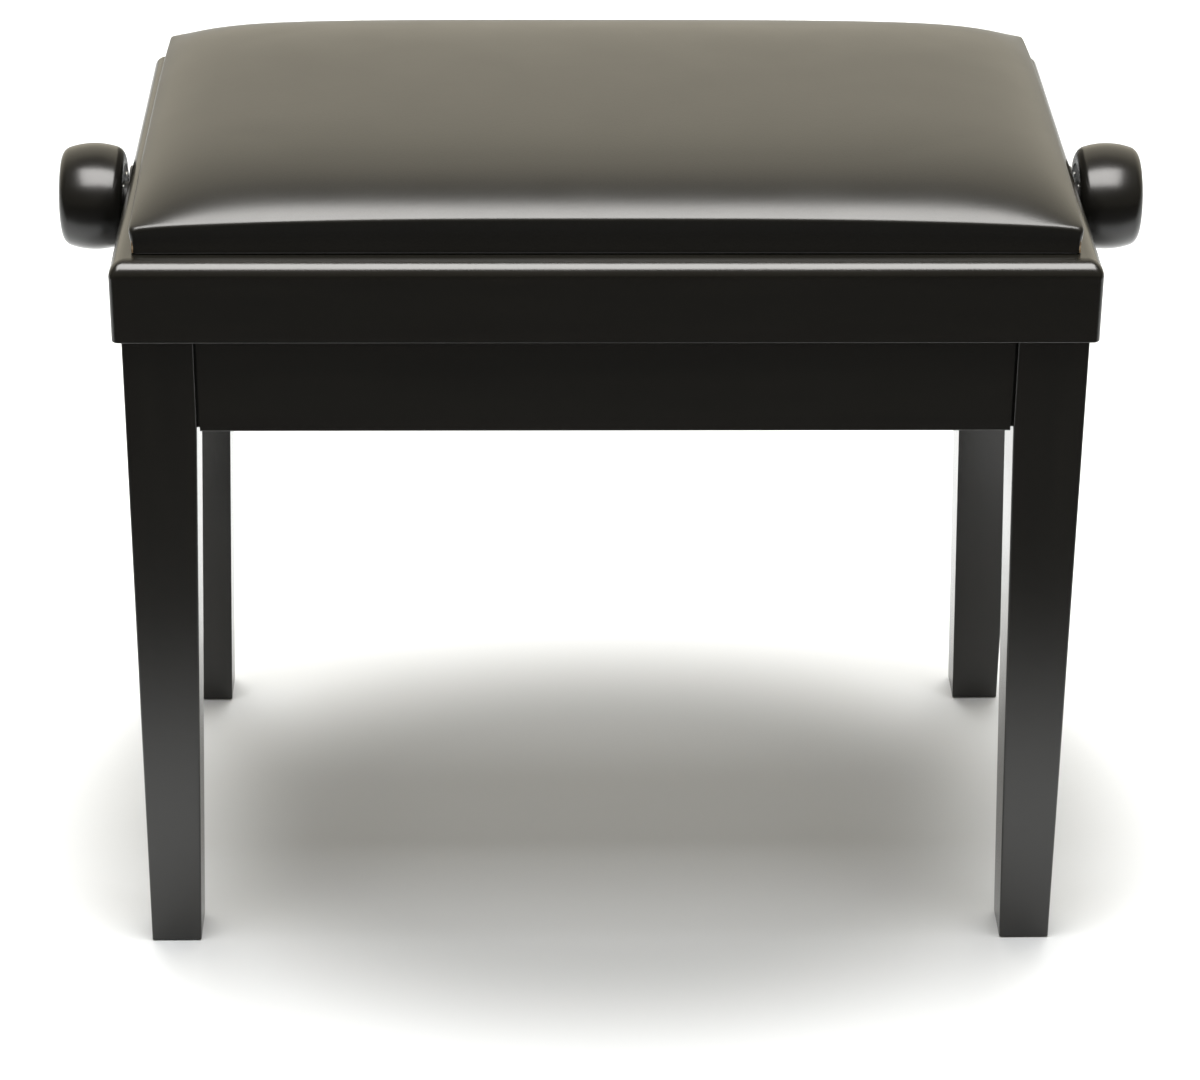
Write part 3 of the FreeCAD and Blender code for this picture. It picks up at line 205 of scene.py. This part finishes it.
def black_lacquer(axis):
    """Satin black lacquer over close-grained wood: faint orange peel, and pores along the grain."""
    look = Look(f"black_lacquer_{axis}", "black_lacquer", (0.0095, 0.0089, 0.0072), 0.22, IOR=1.54)
    grain = look.stretched(ALONG[axis])
    pores = look.ramp(look.noise(900, 2, grain), [(0.30, 0.0), (0.42, 1.0)])
    peel = look.noise(260, 2)
    haze = look.noise(9, 5)
    look.color(look.ramp(look.noise(140, 4, grain),
                         [(0.3, (0.0080, 0.0075, 0.0060)), (0.75, (0.0120, 0.0112, 0.0090))]))
    look.roughness(haze, 0.17, 0.27)
    look.bump((peel, 0.10, 0.00025), (pores, 0.10, 0.00006))
    return look


def leatherette():
    """Black upholstery leatherette: a fine pebbled grain with painted shade in its hollows, and a satin
    gloss.
    """
    look = Look("black_leatherette", "leatherette", (0.0185, 0.0175, 0.0150), 0.36, IOR=1.52)
    pebble_and_painted_shade = look.cells(1150, feature="SMOOTH_F1", smoothness=0.35)
    broad = look.noise(380, 3)
    # Painted shade: the pebble grain is painted darker towards its hollows and lighter on its tops.
    look.color(look.ramp(pebble_and_painted_shade, [(0.0, (0.0126, 0.0119, 0.0101)), (0.9, (0.0077, 0.0073, 0.0062))]))
    look.roughness(look.noise(26, 4), 0.27, 0.34)
    look.bump((broad, 0.05, 0.0003), (look.math("MULTIPLY", pebble_and_painted_shade, -1.0), 0.09, 0.00022))
    return look


def knob_black():
    """Turned wood under black satin lacquer, with very faint turning rings."""
    look = Look("knob_black", "knob_black", (0.0110, 0.0105, 0.0090), 0.30, IOR=1.5)
    look.color(look.ramp(look.noise(60, 4),
                         [(0.3, (0.0045, 0.0042, 0.0036)), (0.7, (0.0070, 0.0066, 0.0056))]))
    rings = look.noise(700, 1, look.stretched((1.0, 0.01, 0.01)))
    look.roughness(look.noise(18, 5), 0.20, 0.30)
    look.bump((look.noise(240, 2), 0.07, 0.00025), (rings, 0.05, 0.00008))
    return look


def beech(axis):
    """Raw planed beech: straight grain with short dark flecks."""
    look = Look(f"beech_{axis}", "beech", (0.56, 0.38, 0.22), 0.62)
    grain = look.stretched(ALONG[axis])
    bands = look.ramp(look.noise(55, 6, grain, distortion=0.6),
                      [(0.25, (0.42, 0.26, 0.13)), (0.5, (0.58, 0.39, 0.22)), (0.8, (0.66, 0.47, 0.29))])
    short_grain = look.stretched([scale ** 0.6 for scale in ALONG[axis]])
    flecks = look.ramp(look.noise(620, 2, short_grain), [(0.30, 0.55), (0.40, 1.0)])
    look.color(look.mix(0.8, bands, flecks, "MULTIPLY"))
    look.roughness(look.noise(90, 3, grain), 0.52, 0.72)
    look.bump((look.noise(420, 4, grain), 0.25, 0.0002))
    return look


def plywood():
    """Raw poplar plywood: open face veneer, and plies that show as stripes on the edge."""
    look = Look("plywood", "plywood", (0.55, 0.40, 0.25), 0.7)
    grain = look.stretched(ALONG["X"])
    face = look.ramp(look.noise(38, 7, grain, distortion=1.2),
                     [(0.2, (0.36, 0.24, 0.13)), (0.5, (0.56, 0.41, 0.25)), (0.85, (0.68, 0.53, 0.35))])
    ply = look.noise(460, 1, look.stretched((0.001, 0.001, 1.0)))
    edge = look.ramp(ply, [(0.42, (0.30, 0.19, 0.10)), (0.56, (0.62, 0.47, 0.30))])
    facing = look.add("ShaderNodeSeparateXYZ")
    look.link(look.add("ShaderNodeNewGeometry").outputs["Normal"], facing.inputs[0])
    flat = look.math("GREATER_THAN", look.math("ABSOLUTE", facing.outputs["Z"], 0.0), 0.7)
    look.color(look.mix(flat, edge, face))
    look.roughness(look.noise(120, 3, grain), 0.6, 0.8)
    look.bump((look.noise(520, 4, grain), 0.3, 0.00025))
    return look


def black_steel():
    """Black powder coat on pressed steel: fine texture and a low sheen."""
    look = Look("black_steel", "black_steel", (0.017, 0.017, 0.018), 0.42, IOR=1.5)
    look.color(look.ramp(look.noise(75, 5), [(0.3, (0.0135, 0.0135, 0.0145)), (0.7, (0.021, 0.021, 0.022))]))
    look.roughness(look.noise(150, 4), 0.34, 0.52)
    look.bump((look.noise(1500, 2), 0.22, 0.00012))
    return look


def zinc_steel():
    """Bright zinc plate: cold grey with faint yellow and blue spangle and light handling marks."""
    look = Look("zinc_steel", "zinc_steel", (0.58, 0.58, 0.56), 0.3, Metallic=1.0)
    look.color(look.ramp(look.noise(150, 4),
                         [(0.3, (0.50, 0.51, 0.53)), (0.6, (0.62, 0.61, 0.57)), (0.8, (0.66, 0.62, 0.52))]))
    look.roughness(look.noise(420, 4), 0.2, 0.42)
    look.bump((look.noise(900, 3), 0.12, 0.0001))
    return look


def spindle_steel():
    """Rolled thread steel, lightly oiled, with patches of dark film."""
    look = Look("spindle_steel", "spindle_steel", (0.46, 0.45, 0.43), 0.26, Metallic=1.0)
    film = look.noise(95, 5)
    look.color(look.ramp(film, [(0.32, (0.20, 0.17, 0.13)), (0.55, (0.50, 0.49, 0.47)),
                                (0.8, (0.60, 0.59, 0.57))]))
    look.roughness(film, 0.36, 0.18)
    look.bump((look.noise(1100, 2, look.stretched((1.0, 0.1, 0.1))), 0.15, 0.00008))
    return look


def brass():
    """Machined brass: fine tool marks and a thin tarnish."""
    look = Look("machined_brass", "brass", (0.70, 0.50, 0.21), 0.28, Metallic=1.0)
    look.color(look.ramp(look.noise(110, 5), [(0.3, (0.50, 0.33, 0.12)), (0.65, (0.74, 0.54, 0.24))]))
    look.roughness(look.noise(300, 3), 0.2, 0.38)
    look.bump((look.noise(1400, 1, look.stretched((1.0, 0.05, 0.05))), 0.2, 0.00008))
    return look


def nylon():
    """Natural nylon: milky, slightly soft to light."""
    look = Look("nylon", "nylon", (0.74, 0.72, 0.65), 0.45, Subsurface_Weight=0.15)
    look.shader.inputs["Subsurface Radius"].default_value = (0.003, 0.003, 0.002)
    look.color(look.ramp(look.noise(130, 3), [(0.3, (0.66, 0.64, 0.56)), (0.7, (0.78, 0.76, 0.70))]))
    look.roughness(look.noise(400, 2), 0.38, 0.55)
    look.bump((look.noise(900, 2), 0.1, 0.0001))
    return look


def felt():
    """Pressed dark felt: short fibres and a dusty sheen."""
    look = Look("glide_felt", "felt", (0.055, 0.050, 0.046), 0.95, Sheen_Weight=0.4)
    look.color(look.ramp(look.noise(1300, 5), [(0.3, (0.030, 0.027, 0.025)), (0.7, (0.085, 0.078, 0.072))]))
    look.roughness(look.noise(800, 2), 0.88, 1.0)
    look.bump((look.noise(1700, 5, look.stretched((1.0, 1.0, 3.0))), 0.8, 0.0004))
    return look


# ---------------------------------------------------------------- finishes of the frame's own pieces

def matching(*starts):
    return [thing for name, thing in sorted(NODES.items()) if name.startswith(starts)]


LACQUERS = {axis: black_lacquer(axis) for axis in ALONG}
LACQUERS["Z"].cover(*matching("leg_"))
LACQUERS["X"].cover(*matching("apron_front", "apron_rear", "frame_rail_front", "frame_rail_rear"))
LACQUERS["Y"].cover(*matching("apron_left", "apron_right", "frame_rail_left", "frame_rail_right"))
beech("X").cover(*matching("corner_brace", "frame_glue_blocks"))
plywood().cover(*matching("seat_board"))
black_steel().cover(*matching("lower_rail_front", "lower_rail_rear", "upper_rail_front", "upper_rail_rear",
                              "outer_arm", "inner_arm", "spindle_tie", "trunnion_bar", "knob_flanges",
                              "escutcheon"))
zinc_steel().cover(*matching("hanger_", "brace_screws", "lower_rail_screws", "upper_rail_screws",
                             "board_screws", "cover_staples", "knob_screws", "tie_rivets", "pivot_rivets",
                             "pivot_spacers", "thrust_collars", "lower_roller_clips", "upper_roller_clips",
                             "lower_fixed_axle", "centre_axle", "lower_slide_axle"))
SPINDLE_STEEL = spindle_steel()
brass().cover(*matching("spindle_nut", "spindle_bushes"))
nylon().cover(*matching("lower_rollers", "upper_rollers"))
knob_black().cover(*matching("knob_left", "knob_right"))
felt().cover(*matching("foot_glides"))
LEATHERETTE = leatherette()


# ---------------------------------------------------------------- seat cushion

HALF_X = (COVER_HIGH[0] - COVER_LOW[0]) / 2
HALF_Y = (COVER_HIGH[1] - COVER_LOW[1]) / 2
CORNER_ROUND = 2.5 * MM                      # radius of the top panel's corners, seen from above
FOLD_ROUND = 3.2 * MM                        # radius of the fold between the top and a side
FOLD_TILT = math.radians(50)                 # how much of a quarter turn the fold makes
EDGE_HEIGHT = FRAME_TOP + 22.4 * MM          # of the fold line at the middle of a side
CORNER_DROP = 6.6 * MM                       # how much lower the fold line is at a corner
CROWN_TOP = SEAT_TOP + 1.8 * MM              # height that the crown levels off towards
CROWN_RUN = 23 * MM                          # how far in from the edge most of the crown is reached
TIP_REACH = 1.2 * MM                         # how far the corner tips stand out
PLEAT_INSET = 5.0 * MM                       # how far the pleat in the front and rear sides is from a corner
PLEAT_WIDTH = 1.2 * MM
PLEAT_DEPTH = 0.6 * MM
COVER_THICK = 1.0 * MM
COLUMNS, ROWS = 104, 68                      # squares of the top panel's grid
FOLD_ROWS, SIDE_ROWS, HEM_ROWS = 4, 10, 5
HEM_WIDTH = 22 * MM                          # how far the cover is folded in under the sides
WAIST_TAPER = 0.3 * MM
WAIST_DEPTH = 0.5 * MM
SWELL = 1.2 * MM                             # what the simulation adds to the crown
CLOTH_STEPS = 20
EVEN_STEPS = 12                              # rounds of smoothing after it
OUTWARD_POWERS = (61, 35)                    # odd, so that a side's outward direction keeps its sign
CORNER_POWERS = (60, 35)                     # how close to a corner its tip starts, along X and along Y
PANEL_POINTS = (COLUMNS + 1) * (ROWS + 1)
PANEL_X = HALF_X - FOLD_ROUND * (1 - math.cos(FOLD_TILT))
PANEL_Y = HALF_Y - FOLD_ROUND * (1 - math.cos(FOLD_TILT))


def spaced(count, half):
    """Points from -half to half, closer together towards both ends."""
    reach = 0.88 * math.pi / 2
    return half * np.sin(np.linspace(-reach, reach, count + 1)) / math.sin(reach)


def rounded(x, y):
    """Moves points of the top panel's corners onto a round corner."""
    near_x = (abs(x) - (PANEL_X - CORNER_ROUND)) / CORNER_ROUND
    near_y = (abs(y) - (PANEL_Y - CORNER_ROUND)) / CORNER_ROUND
    if near_x <= 0 or near_y <= 0:
        return x, y
    disc_x = near_x * math.sqrt(1 - near_y ** 2 / 2)
    disc_y = near_y * math.sqrt(1 - near_x ** 2 / 2)
    return (math.copysign(PANEL_X - CORNER_ROUND + disc_x * CORNER_ROUND, x),
            math.copysign(PANEL_Y - CORNER_ROUND + disc_y * CORNER_ROUND, y))


def drop_share(share):
    """How much of the corner's drop the fold line has, at a share of the way from middle to corner."""
    return 0.85 * share ** 3 + 0.15 * share ** 40


def fold_height(x, y):
    """Height of the fold line between the cushion's top and sides."""
    return EDGE_HEIGHT - CORNER_DROP * drop_share(abs(x) / PANEL_X) * drop_share(abs(y) / PANEL_Y)


def crown(x, y):
    """Height of the crowned top, before the simulation."""
    rise = CROWN_TOP - SWELL - EDGE_HEIGHT
    for inset in (PANEL_X - abs(x), PANEL_Y - abs(y)):
        rise *= 1 - math.exp(-inset / CROWN_RUN)
    return fold_height(x, y) + rise


def side_steps(height):
    """Out and down from the fold line to the frame: round the fold, then straight down a shallow waist."""
    for turn in np.linspace(FOLD_TILT, 0, FOLD_ROWS + 1)[1:]:
        down = FOLD_ROUND * (math.sin(FOLD_TILT) - math.sin(turn))
        yield FOLD_ROUND * (math.cos(turn) - math.cos(FOLD_TILT)), down
    for share in np.linspace(0, 1, SIDE_ROWS + 1)[1:]:
        waist = WAIST_TAPER * share + WAIST_DEPTH * math.sin(math.pi * share) ** 2
        yield FOLD_ROUND * (1 - math.cos(FOLD_TILT)) - waist, down + (height - down) * share


def pleat(x, share):
    """Depth of the pleat that takes up the cover beside each corner."""
    from_pleat = (PANEL_X - abs(x) - PLEAT_INSET) / PLEAT_WIDTH
    return PLEAT_DEPTH * math.exp(-from_pleat ** 2) * math.sin(math.pi * share)


def build_cushion():
    """The cover's outside: crowned top, sides, and the hem folded in at the bottom.

    Returns the mesh, and the top panel's points that the simulation may move.
    """
    xs, ys = spaced(COLUMNS, PANEL_X), spaced(ROWS, PANEL_Y)
    verts, top = [], {}
    for i, x in enumerate(xs):
        for j, y in enumerate(ys):
            px, py = rounded(x, y)
            top[i, j] = len(verts)
            verts.append((px, py, crown(px, py)))
    loop = [(i, 0) for i in range(COLUMNS)] + [(COLUMNS, j) for j in range(ROWS)] \
        + [(i, ROWS) for i in range(COLUMNS, 0, -1)] + [(0, j) for j in range(ROWS, 0, -1)]
    rings = [[top[key] for key in loop]] + [[] for _ in range(FOLD_ROWS + SIDE_ROWS)]
    for key in loop:
        x, y, z = verts[top[key]]
        height = z - FRAME_TOP
        to_x, to_y = x / PANEL_X, y / PANEL_Y
        outward = Vector((to_x ** OUTWARD_POWERS[0], to_y ** OUTWARD_POWERS[1], 0)).normalized()
        tip = TIP_REACH * abs(to_x) ** CORNER_POWERS[0] * abs(to_y) ** CORNER_POWERS[1]
        for ring, (out, down) in zip(rings[1:], side_steps(height)):
            share = down / height
            out += tip * math.sin(math.pi * (1 - share) ** 2) - pleat(x, share)
            ring.append(len(verts))
            verts.append((x + outward.x * out, y + outward.y * out, z - down))
    outline = [verts[k] for k in rings[-1]]
    for row in range(1, HEM_ROWS + 1):
        inset = HEM_WIDTH * row / HEM_ROWS
        rings.append([])
        for x, y, z in outline:
            rings[-1].append(len(verts))
            verts.append((x * (1 - inset / HALF_X), y * (1 - inset / HALF_Y), z))
    faces = [(top[i, j], top[i + 1, j], top[i + 1, j + 1], top[i, j + 1])
             for i in range(COLUMNS) for j in range(ROWS)]
    for upper, lower in zip(rings, rings[1:]):
        for k in range(len(loop)):
            after = (k + 1) % len(loop)
            faces.append((upper[after], upper[k], lower[k], lower[after]))
    mesh = bpy.data.meshes.new("seat_cushion")
    mesh.from_pydata(verts, [], faces)
    mesh.update()
    free = [top[i, j] for i in range(1, COLUMNS) for j in range(1, ROWS)]
    return mesh, free


def swollen(mesh, free):
    """How far each point of the top panel moves when it is blown up as cloth held at its edge."""
    panel = bmesh.new()
    panel.from_mesh(mesh)
    panel.verts.ensure_lookup_table()
    bmesh.ops.delete(panel, geom=panel.verts[PANEL_POINTS:], context="VERTS")
    cloth_mesh = bpy.data.meshes.new("cushion_cloth")
    panel.to_mesh(cloth_mesh)
    panel.free()
    thing = bpy.data.objects.new("cushion_cloth", cloth_mesh)
    bpy.context.scene.collection.objects.link(thing)
    held = thing.vertex_groups.new(name="held")
    held.add(sorted(set(range(len(cloth_mesh.vertices))) - set(free)), 1.0, "REPLACE")
    cloth = thing.modifiers.new("cloth", "CLOTH").settings
    cloth.quality = 4
    cloth.mass = 0.4
    cloth.tension_stiffness = 25
    cloth.compression_stiffness = 25
    cloth.shear_stiffness = 8
    cloth.bending_stiffness = 3
    cloth.use_pressure = True
    cloth.uniform_pressure_force = 4
    cloth.vertex_group_mass = "held"
    cloth.effector_weights.gravity = 0
    scene = bpy.context.scene
    for step in range(1, CLOTH_STEPS + 1):
        scene.frame_set(step)
    shape = thing.evaluated_get(bpy.context.evaluated_depsgraph_get()).data
    moved = np.array([after.co - before.co for after, before in zip(shape.vertices, cloth_mesh.vertices)])
    scene.frame_set(1)
    bpy.data.objects.remove(thing)
    return moved


def evened(field):
    """Smooths a field over the top panel's grid: takes out creases that foam would fill."""
    grid = field.reshape(COLUMNS + 1, ROWS + 1, -1).copy()
    for _ in range(EVEN_STEPS):
        inner = grid[1:-1, 1:-1]
        around = (grid[2:, 1:-1] + grid[:-2, 1:-1] + grid[1:-1, 2:] + grid[1:-1, :-2]) / 4
        grid[1:-1, 1:-1] = inner * 0.4 + around * 0.6
    return grid.reshape(field.shape)


def make_cushion():
    """The cushion's mesh, its crown swollen by SWELL at its highest point."""
    mesh, free = build_cushion()
    points = np.array([v.co for v in mesh.vertices])
    lift = evened(swollen(mesh, free))
    lift[:, 2] = np.maximum(lift[:, 2], 0)
    points[:PANEL_POINTS] += lift * SWELL / lift[:, 2].max()
    mesh.vertices.foreach_set("co", points.ravel())
    mesh.update()
    for face in mesh.polygons:
        face.use_smooth = True
    thing = bpy.data.objects.new("seat_cushion", mesh)
    bpy.context.scene.collection.objects.link(thing)
    return thing


cushion = make_cushion()
LEATHERETTE.cover(cushion)
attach(cushion, "seat")
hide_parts("seat_cover", "seat_foam")
thickness = cushion.modifiers.new("thickness", "SOLIDIFY")
thickness.thickness = COVER_THICK
thickness.offset = -1
subdivide = cushion.modifiers.new("smooth", "SUBSURF")
subdivide.levels = 1
subdivide.render_levels = 1


# ---------------------------------------------------------------- threaded spindle

THREAD_PITCH = 3 * MM
THREAD_TURNS = 34
THREAD_STEPS = 28                            # points round one turn
THREAD_START = -197 * MM                     # left end of the part that the nut runs on
THREAD_SUNK = 0.1 * MM                       # how far the ridge's foot is inside the rod
THREAD_HEIGHT = 0.75 * MM
THREAD_RUN_OUT = 0.5                         # turns over which the ridge rises at its ends
RIDGE = [(-1.15 * MM, -THREAD_SUNK), (-0.25 * MM, THREAD_HEIGHT),
         (0.25 * MM, THREAD_HEIGHT), (1.15 * MM, -THREAD_SUNK)]


def make_thread():
    """The spindle's screw thread: a helical ridge round the rod, over the part that the nut runs on."""
    foot = (ROD_HIGH[1] - ROD_LOW[1]) / 2 - THREAD_SUNK
    middle = (ROD_LOW + ROD_HIGH) / 2
    count = THREAD_TURNS * THREAD_STEPS + 1
    mesh = bmesh.new()
    rows = []
    for k in range(count):
        angle = 2 * math.pi * k / THREAD_STEPS
        turns_from_end = min(k, count - 1 - k) / THREAD_STEPS
        rows.append([])
        for along, height in RIDGE:
            reach = foot + (height + THREAD_SUNK) * min(turns_from_end / THREAD_RUN_OUT, 1)
            rows[-1].append(mesh.verts.new((THREAD_START + THREAD_PITCH * k / THREAD_STEPS + along,
                                            middle[1] + reach * math.cos(angle),
                                            middle[2] + reach * math.sin(angle))))
    for first, second in zip(rows, rows[1:]):
        for k in range(len(RIDGE)):
            after = (k + 1) % len(RIDGE)
            mesh.faces.new((first[k], first[after], second[after], second[k]))
    mesh.faces.new(rows[0][::-1])
    mesh.faces.new(rows[-1])
    bmesh.ops.recalc_face_normals(mesh, faces=mesh.faces)
    data = bpy.data.meshes.new("spindle_thread")
    mesh.to_mesh(data)
    mesh.free()
    thing = bpy.data.objects.new("spindle_thread", data)
    bpy.context.scene.collection.objects.link(thing)
    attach(thing, "spindle")
    return thing


SPINDLE_STEEL.cover(NODES["spindle_rod"], make_thread())


# ---------------------------------------------------------------- floor, light and camera

ROOM_GLOW = 0.20                             # what the dim directions give
FLOOR_SIZE = 14.0                            # half its width, in metres
# Centre and half-size of the soft grey shadow painted onto the floor under the bench.
PAINTED_SHADOW_CENTRE = (0.01, -0.035)
PAINTED_SHADOW_REACH = (0.40, 0.30)                   # half its size along X and Y


def world_light():
    """A bright sweep behind the bench, dim to the sides, in front and straight up."""
    world = bpy.data.worlds.new("studio")
    bpy.context.scene.world = world
    world.use_nodes = True
    tree = world.node_tree
    tree.nodes.clear()
    out = tree.nodes.new("ShaderNodeOutputWorld")
    back = tree.nodes.new("ShaderNodeBackground")
    direction = tree.nodes.new("ShaderNodeSeparateXYZ")
    tree.links.new(tree.nodes.new("ShaderNodeTexCoord").outputs["Generated"], direction.inputs[0])

    def smooth(value, low, high, to_low, to_high):
        node = tree.nodes.new("ShaderNodeMapRange")
        node.interpolation_type = "SMOOTHSTEP"
        for socket, number in zip(("From Min", "From Max", "To Min", "To Max"), (low, high, to_low, to_high)):
            node.inputs[socket].default_value = number
        tree.links.new(value, node.inputs["Value"])
        return node.outputs["Result"]

    def times(first, second):
        node = tree.nodes.new("ShaderNodeMath")
        node.operation = "MULTIPLY"
        tree.links.new(first, node.inputs[0])
        tree.links.new(second, node.inputs[1])
        return node.outputs["Value"]

    low_sky = smooth(direction.outputs["Z"], 0.80, 1.0, 1.05, 0.0)
    behind = smooth(direction.outputs["Y"], -0.1, 0.75, 0.0, 1.0)
    glow = times(low_sky, behind)
    total = tree.nodes.new("ShaderNodeMath")
    total.operation = "ADD"
    tree.links.new(glow, total.inputs[0])
    total.inputs[1].default_value = ROOM_GLOW
    tree.links.new(total.outputs["Value"], back.inputs["Strength"])
    back.inputs["Color"].default_value = (1.0, 0.925, 0.75, 1)
    tree.links.new(back.outputs["Background"], out.inputs["Surface"])


def soft_box(name, place, target, width, depth, power, diffuse=True, glossy=True):
    light = bpy.data.lights.new(name, "AREA")
    light.shape = "RECTANGLE"
    light.size = width
    light.size_y = depth
    light.energy = power
    light.color = (1.0, 0.985, 0.96)
    thing = bpy.data.objects.new(name, light)
    thing.location = place
    thing.rotation_euler = (Vector(target) - Vector(place)).to_track_quat("-Z", "Y").to_euler()
    thing.visible_camera = False
    thing.visible_diffuse = diffuse
    thing.visible_glossy = glossy
    bpy.context.scene.collection.objects.link(thing)


def make_floor():
    """A pale paper floor with painted shade: painted dark further in front of the bench, and a soft grey
    shadow painted under the bench.
    """
    mesh = bpy.data.meshes.new("floor")
    corners = [(-FLOOR_SIZE, -FLOOR_SIZE, 0), (FLOOR_SIZE, -FLOOR_SIZE, 0),
               (FLOOR_SIZE, FLOOR_SIZE, 0), (-FLOOR_SIZE, FLOOR_SIZE, 0)]
    mesh.from_pydata(corners, [], [(0, 1, 2, 3)])
    thing = bpy.data.objects.new("floor", mesh)
    bpy.context.scene.collection.objects.link(thing)
    look = Look("floor_paper_painted_shade", None, (0.86, 0.86, 0.85), 0.9)
    spot = look.add("ShaderNodeSeparateXYZ")
    look.link(look.coords, spot.inputs[0])
    # Painted shade: the floor is painted dark further in front of the bench, standing in for an unlit studio
    # there; the bench's front faces and knobs reflect it.
    painted_dark_front = look.add("ShaderNodeMapRange", interpolation_type="SMOOTHSTEP")
    look.link(spot.outputs["Y"], painted_dark_front.inputs["Value"])
    for socket, number in zip(("From Min", "From Max", "To Min", "To Max"), (-0.60, -0.30, 0.0, 1.0)):
        painted_dark_front.inputs[socket].default_value = number
    paper = look.ramp(painted_dark_front.outputs["Result"], [(0.0, (0.05, 0.05, 0.05)), (1.0, (0.83, 0.86, 0.90))])
    # A soft grey shadow painted onto the floor under the bench: the paper is darkened towards the middle of
    # the bench's footprint.
    squares = []
    for axis, centre, reach in zip("XY", PAINTED_SHADOW_CENTRE, PAINTED_SHADOW_REACH):
        share = look.math("DIVIDE", look.math("SUBTRACT", spot.outputs[axis], centre), reach)
        squares.append(look.math("POWER", share, 2))
    under = look.add("ShaderNodeMapRange", interpolation_type="SMOOTHSTEP")
    look.link(look.math("SQRT", look.math("ADD", *squares), 0.0), under.inputs["Value"])
    for socket, number in zip(("From Min", "From Max", "To Min", "To Max"), (0.45, 1.1, 0.42, 1.0)):
        under.inputs[socket].default_value = number
    look.color(look.mix(1.0, paper, under.outputs["Result"], "MULTIPLY"))
    thing.data.materials.append(look.material)


def make_camera():
    data = bpy.data.cameras.new("camera")
    data.lens = 119.0
    data.sensor_width = 36.0
    thing = bpy.data.objects.new("camera", data)
    thing.matrix_world = (Matrix.Translation((-0.0484, -2.1688, 1.3201))
                          @ Matrix.Rotation(math.radians(-1.3), 4, "Z")
                          @ Matrix.Rotation(math.radians(90 - 27.56), 4, "X")
                          @ Matrix.Rotation(math.radians(0.5), 4, "Z"))
    bpy.context.scene.collection.objects.link(thing)
    bpy.context.scene.camera = thing


world_light()
make_floor()
make_camera()
soft_box("overhead", (0.0, -0.44, 2.0), (0.0, -0.44, 0.0), 1.8, 0.52, 38)
soft_box("sky", (0.0, 0.35, 2.4), (0.0, 0.35, 0.0), 1.6, 1.2, 55, glossy=False)
soft_box("sweep", (0.0, 2.2, 2.4), (0.0, 1.9, 0.0), 3.0, 1.2, 70, glossy=False)
soft_box("front", (0.0, -1.15, 2.0), (0.0, -1.15, 0.0), 1.9, 0.9, 68, diffuse=False)
bpy.context.scene.view_settings.view_transform = "Standard"
bpy.context.scene.view_settings.look = "None"
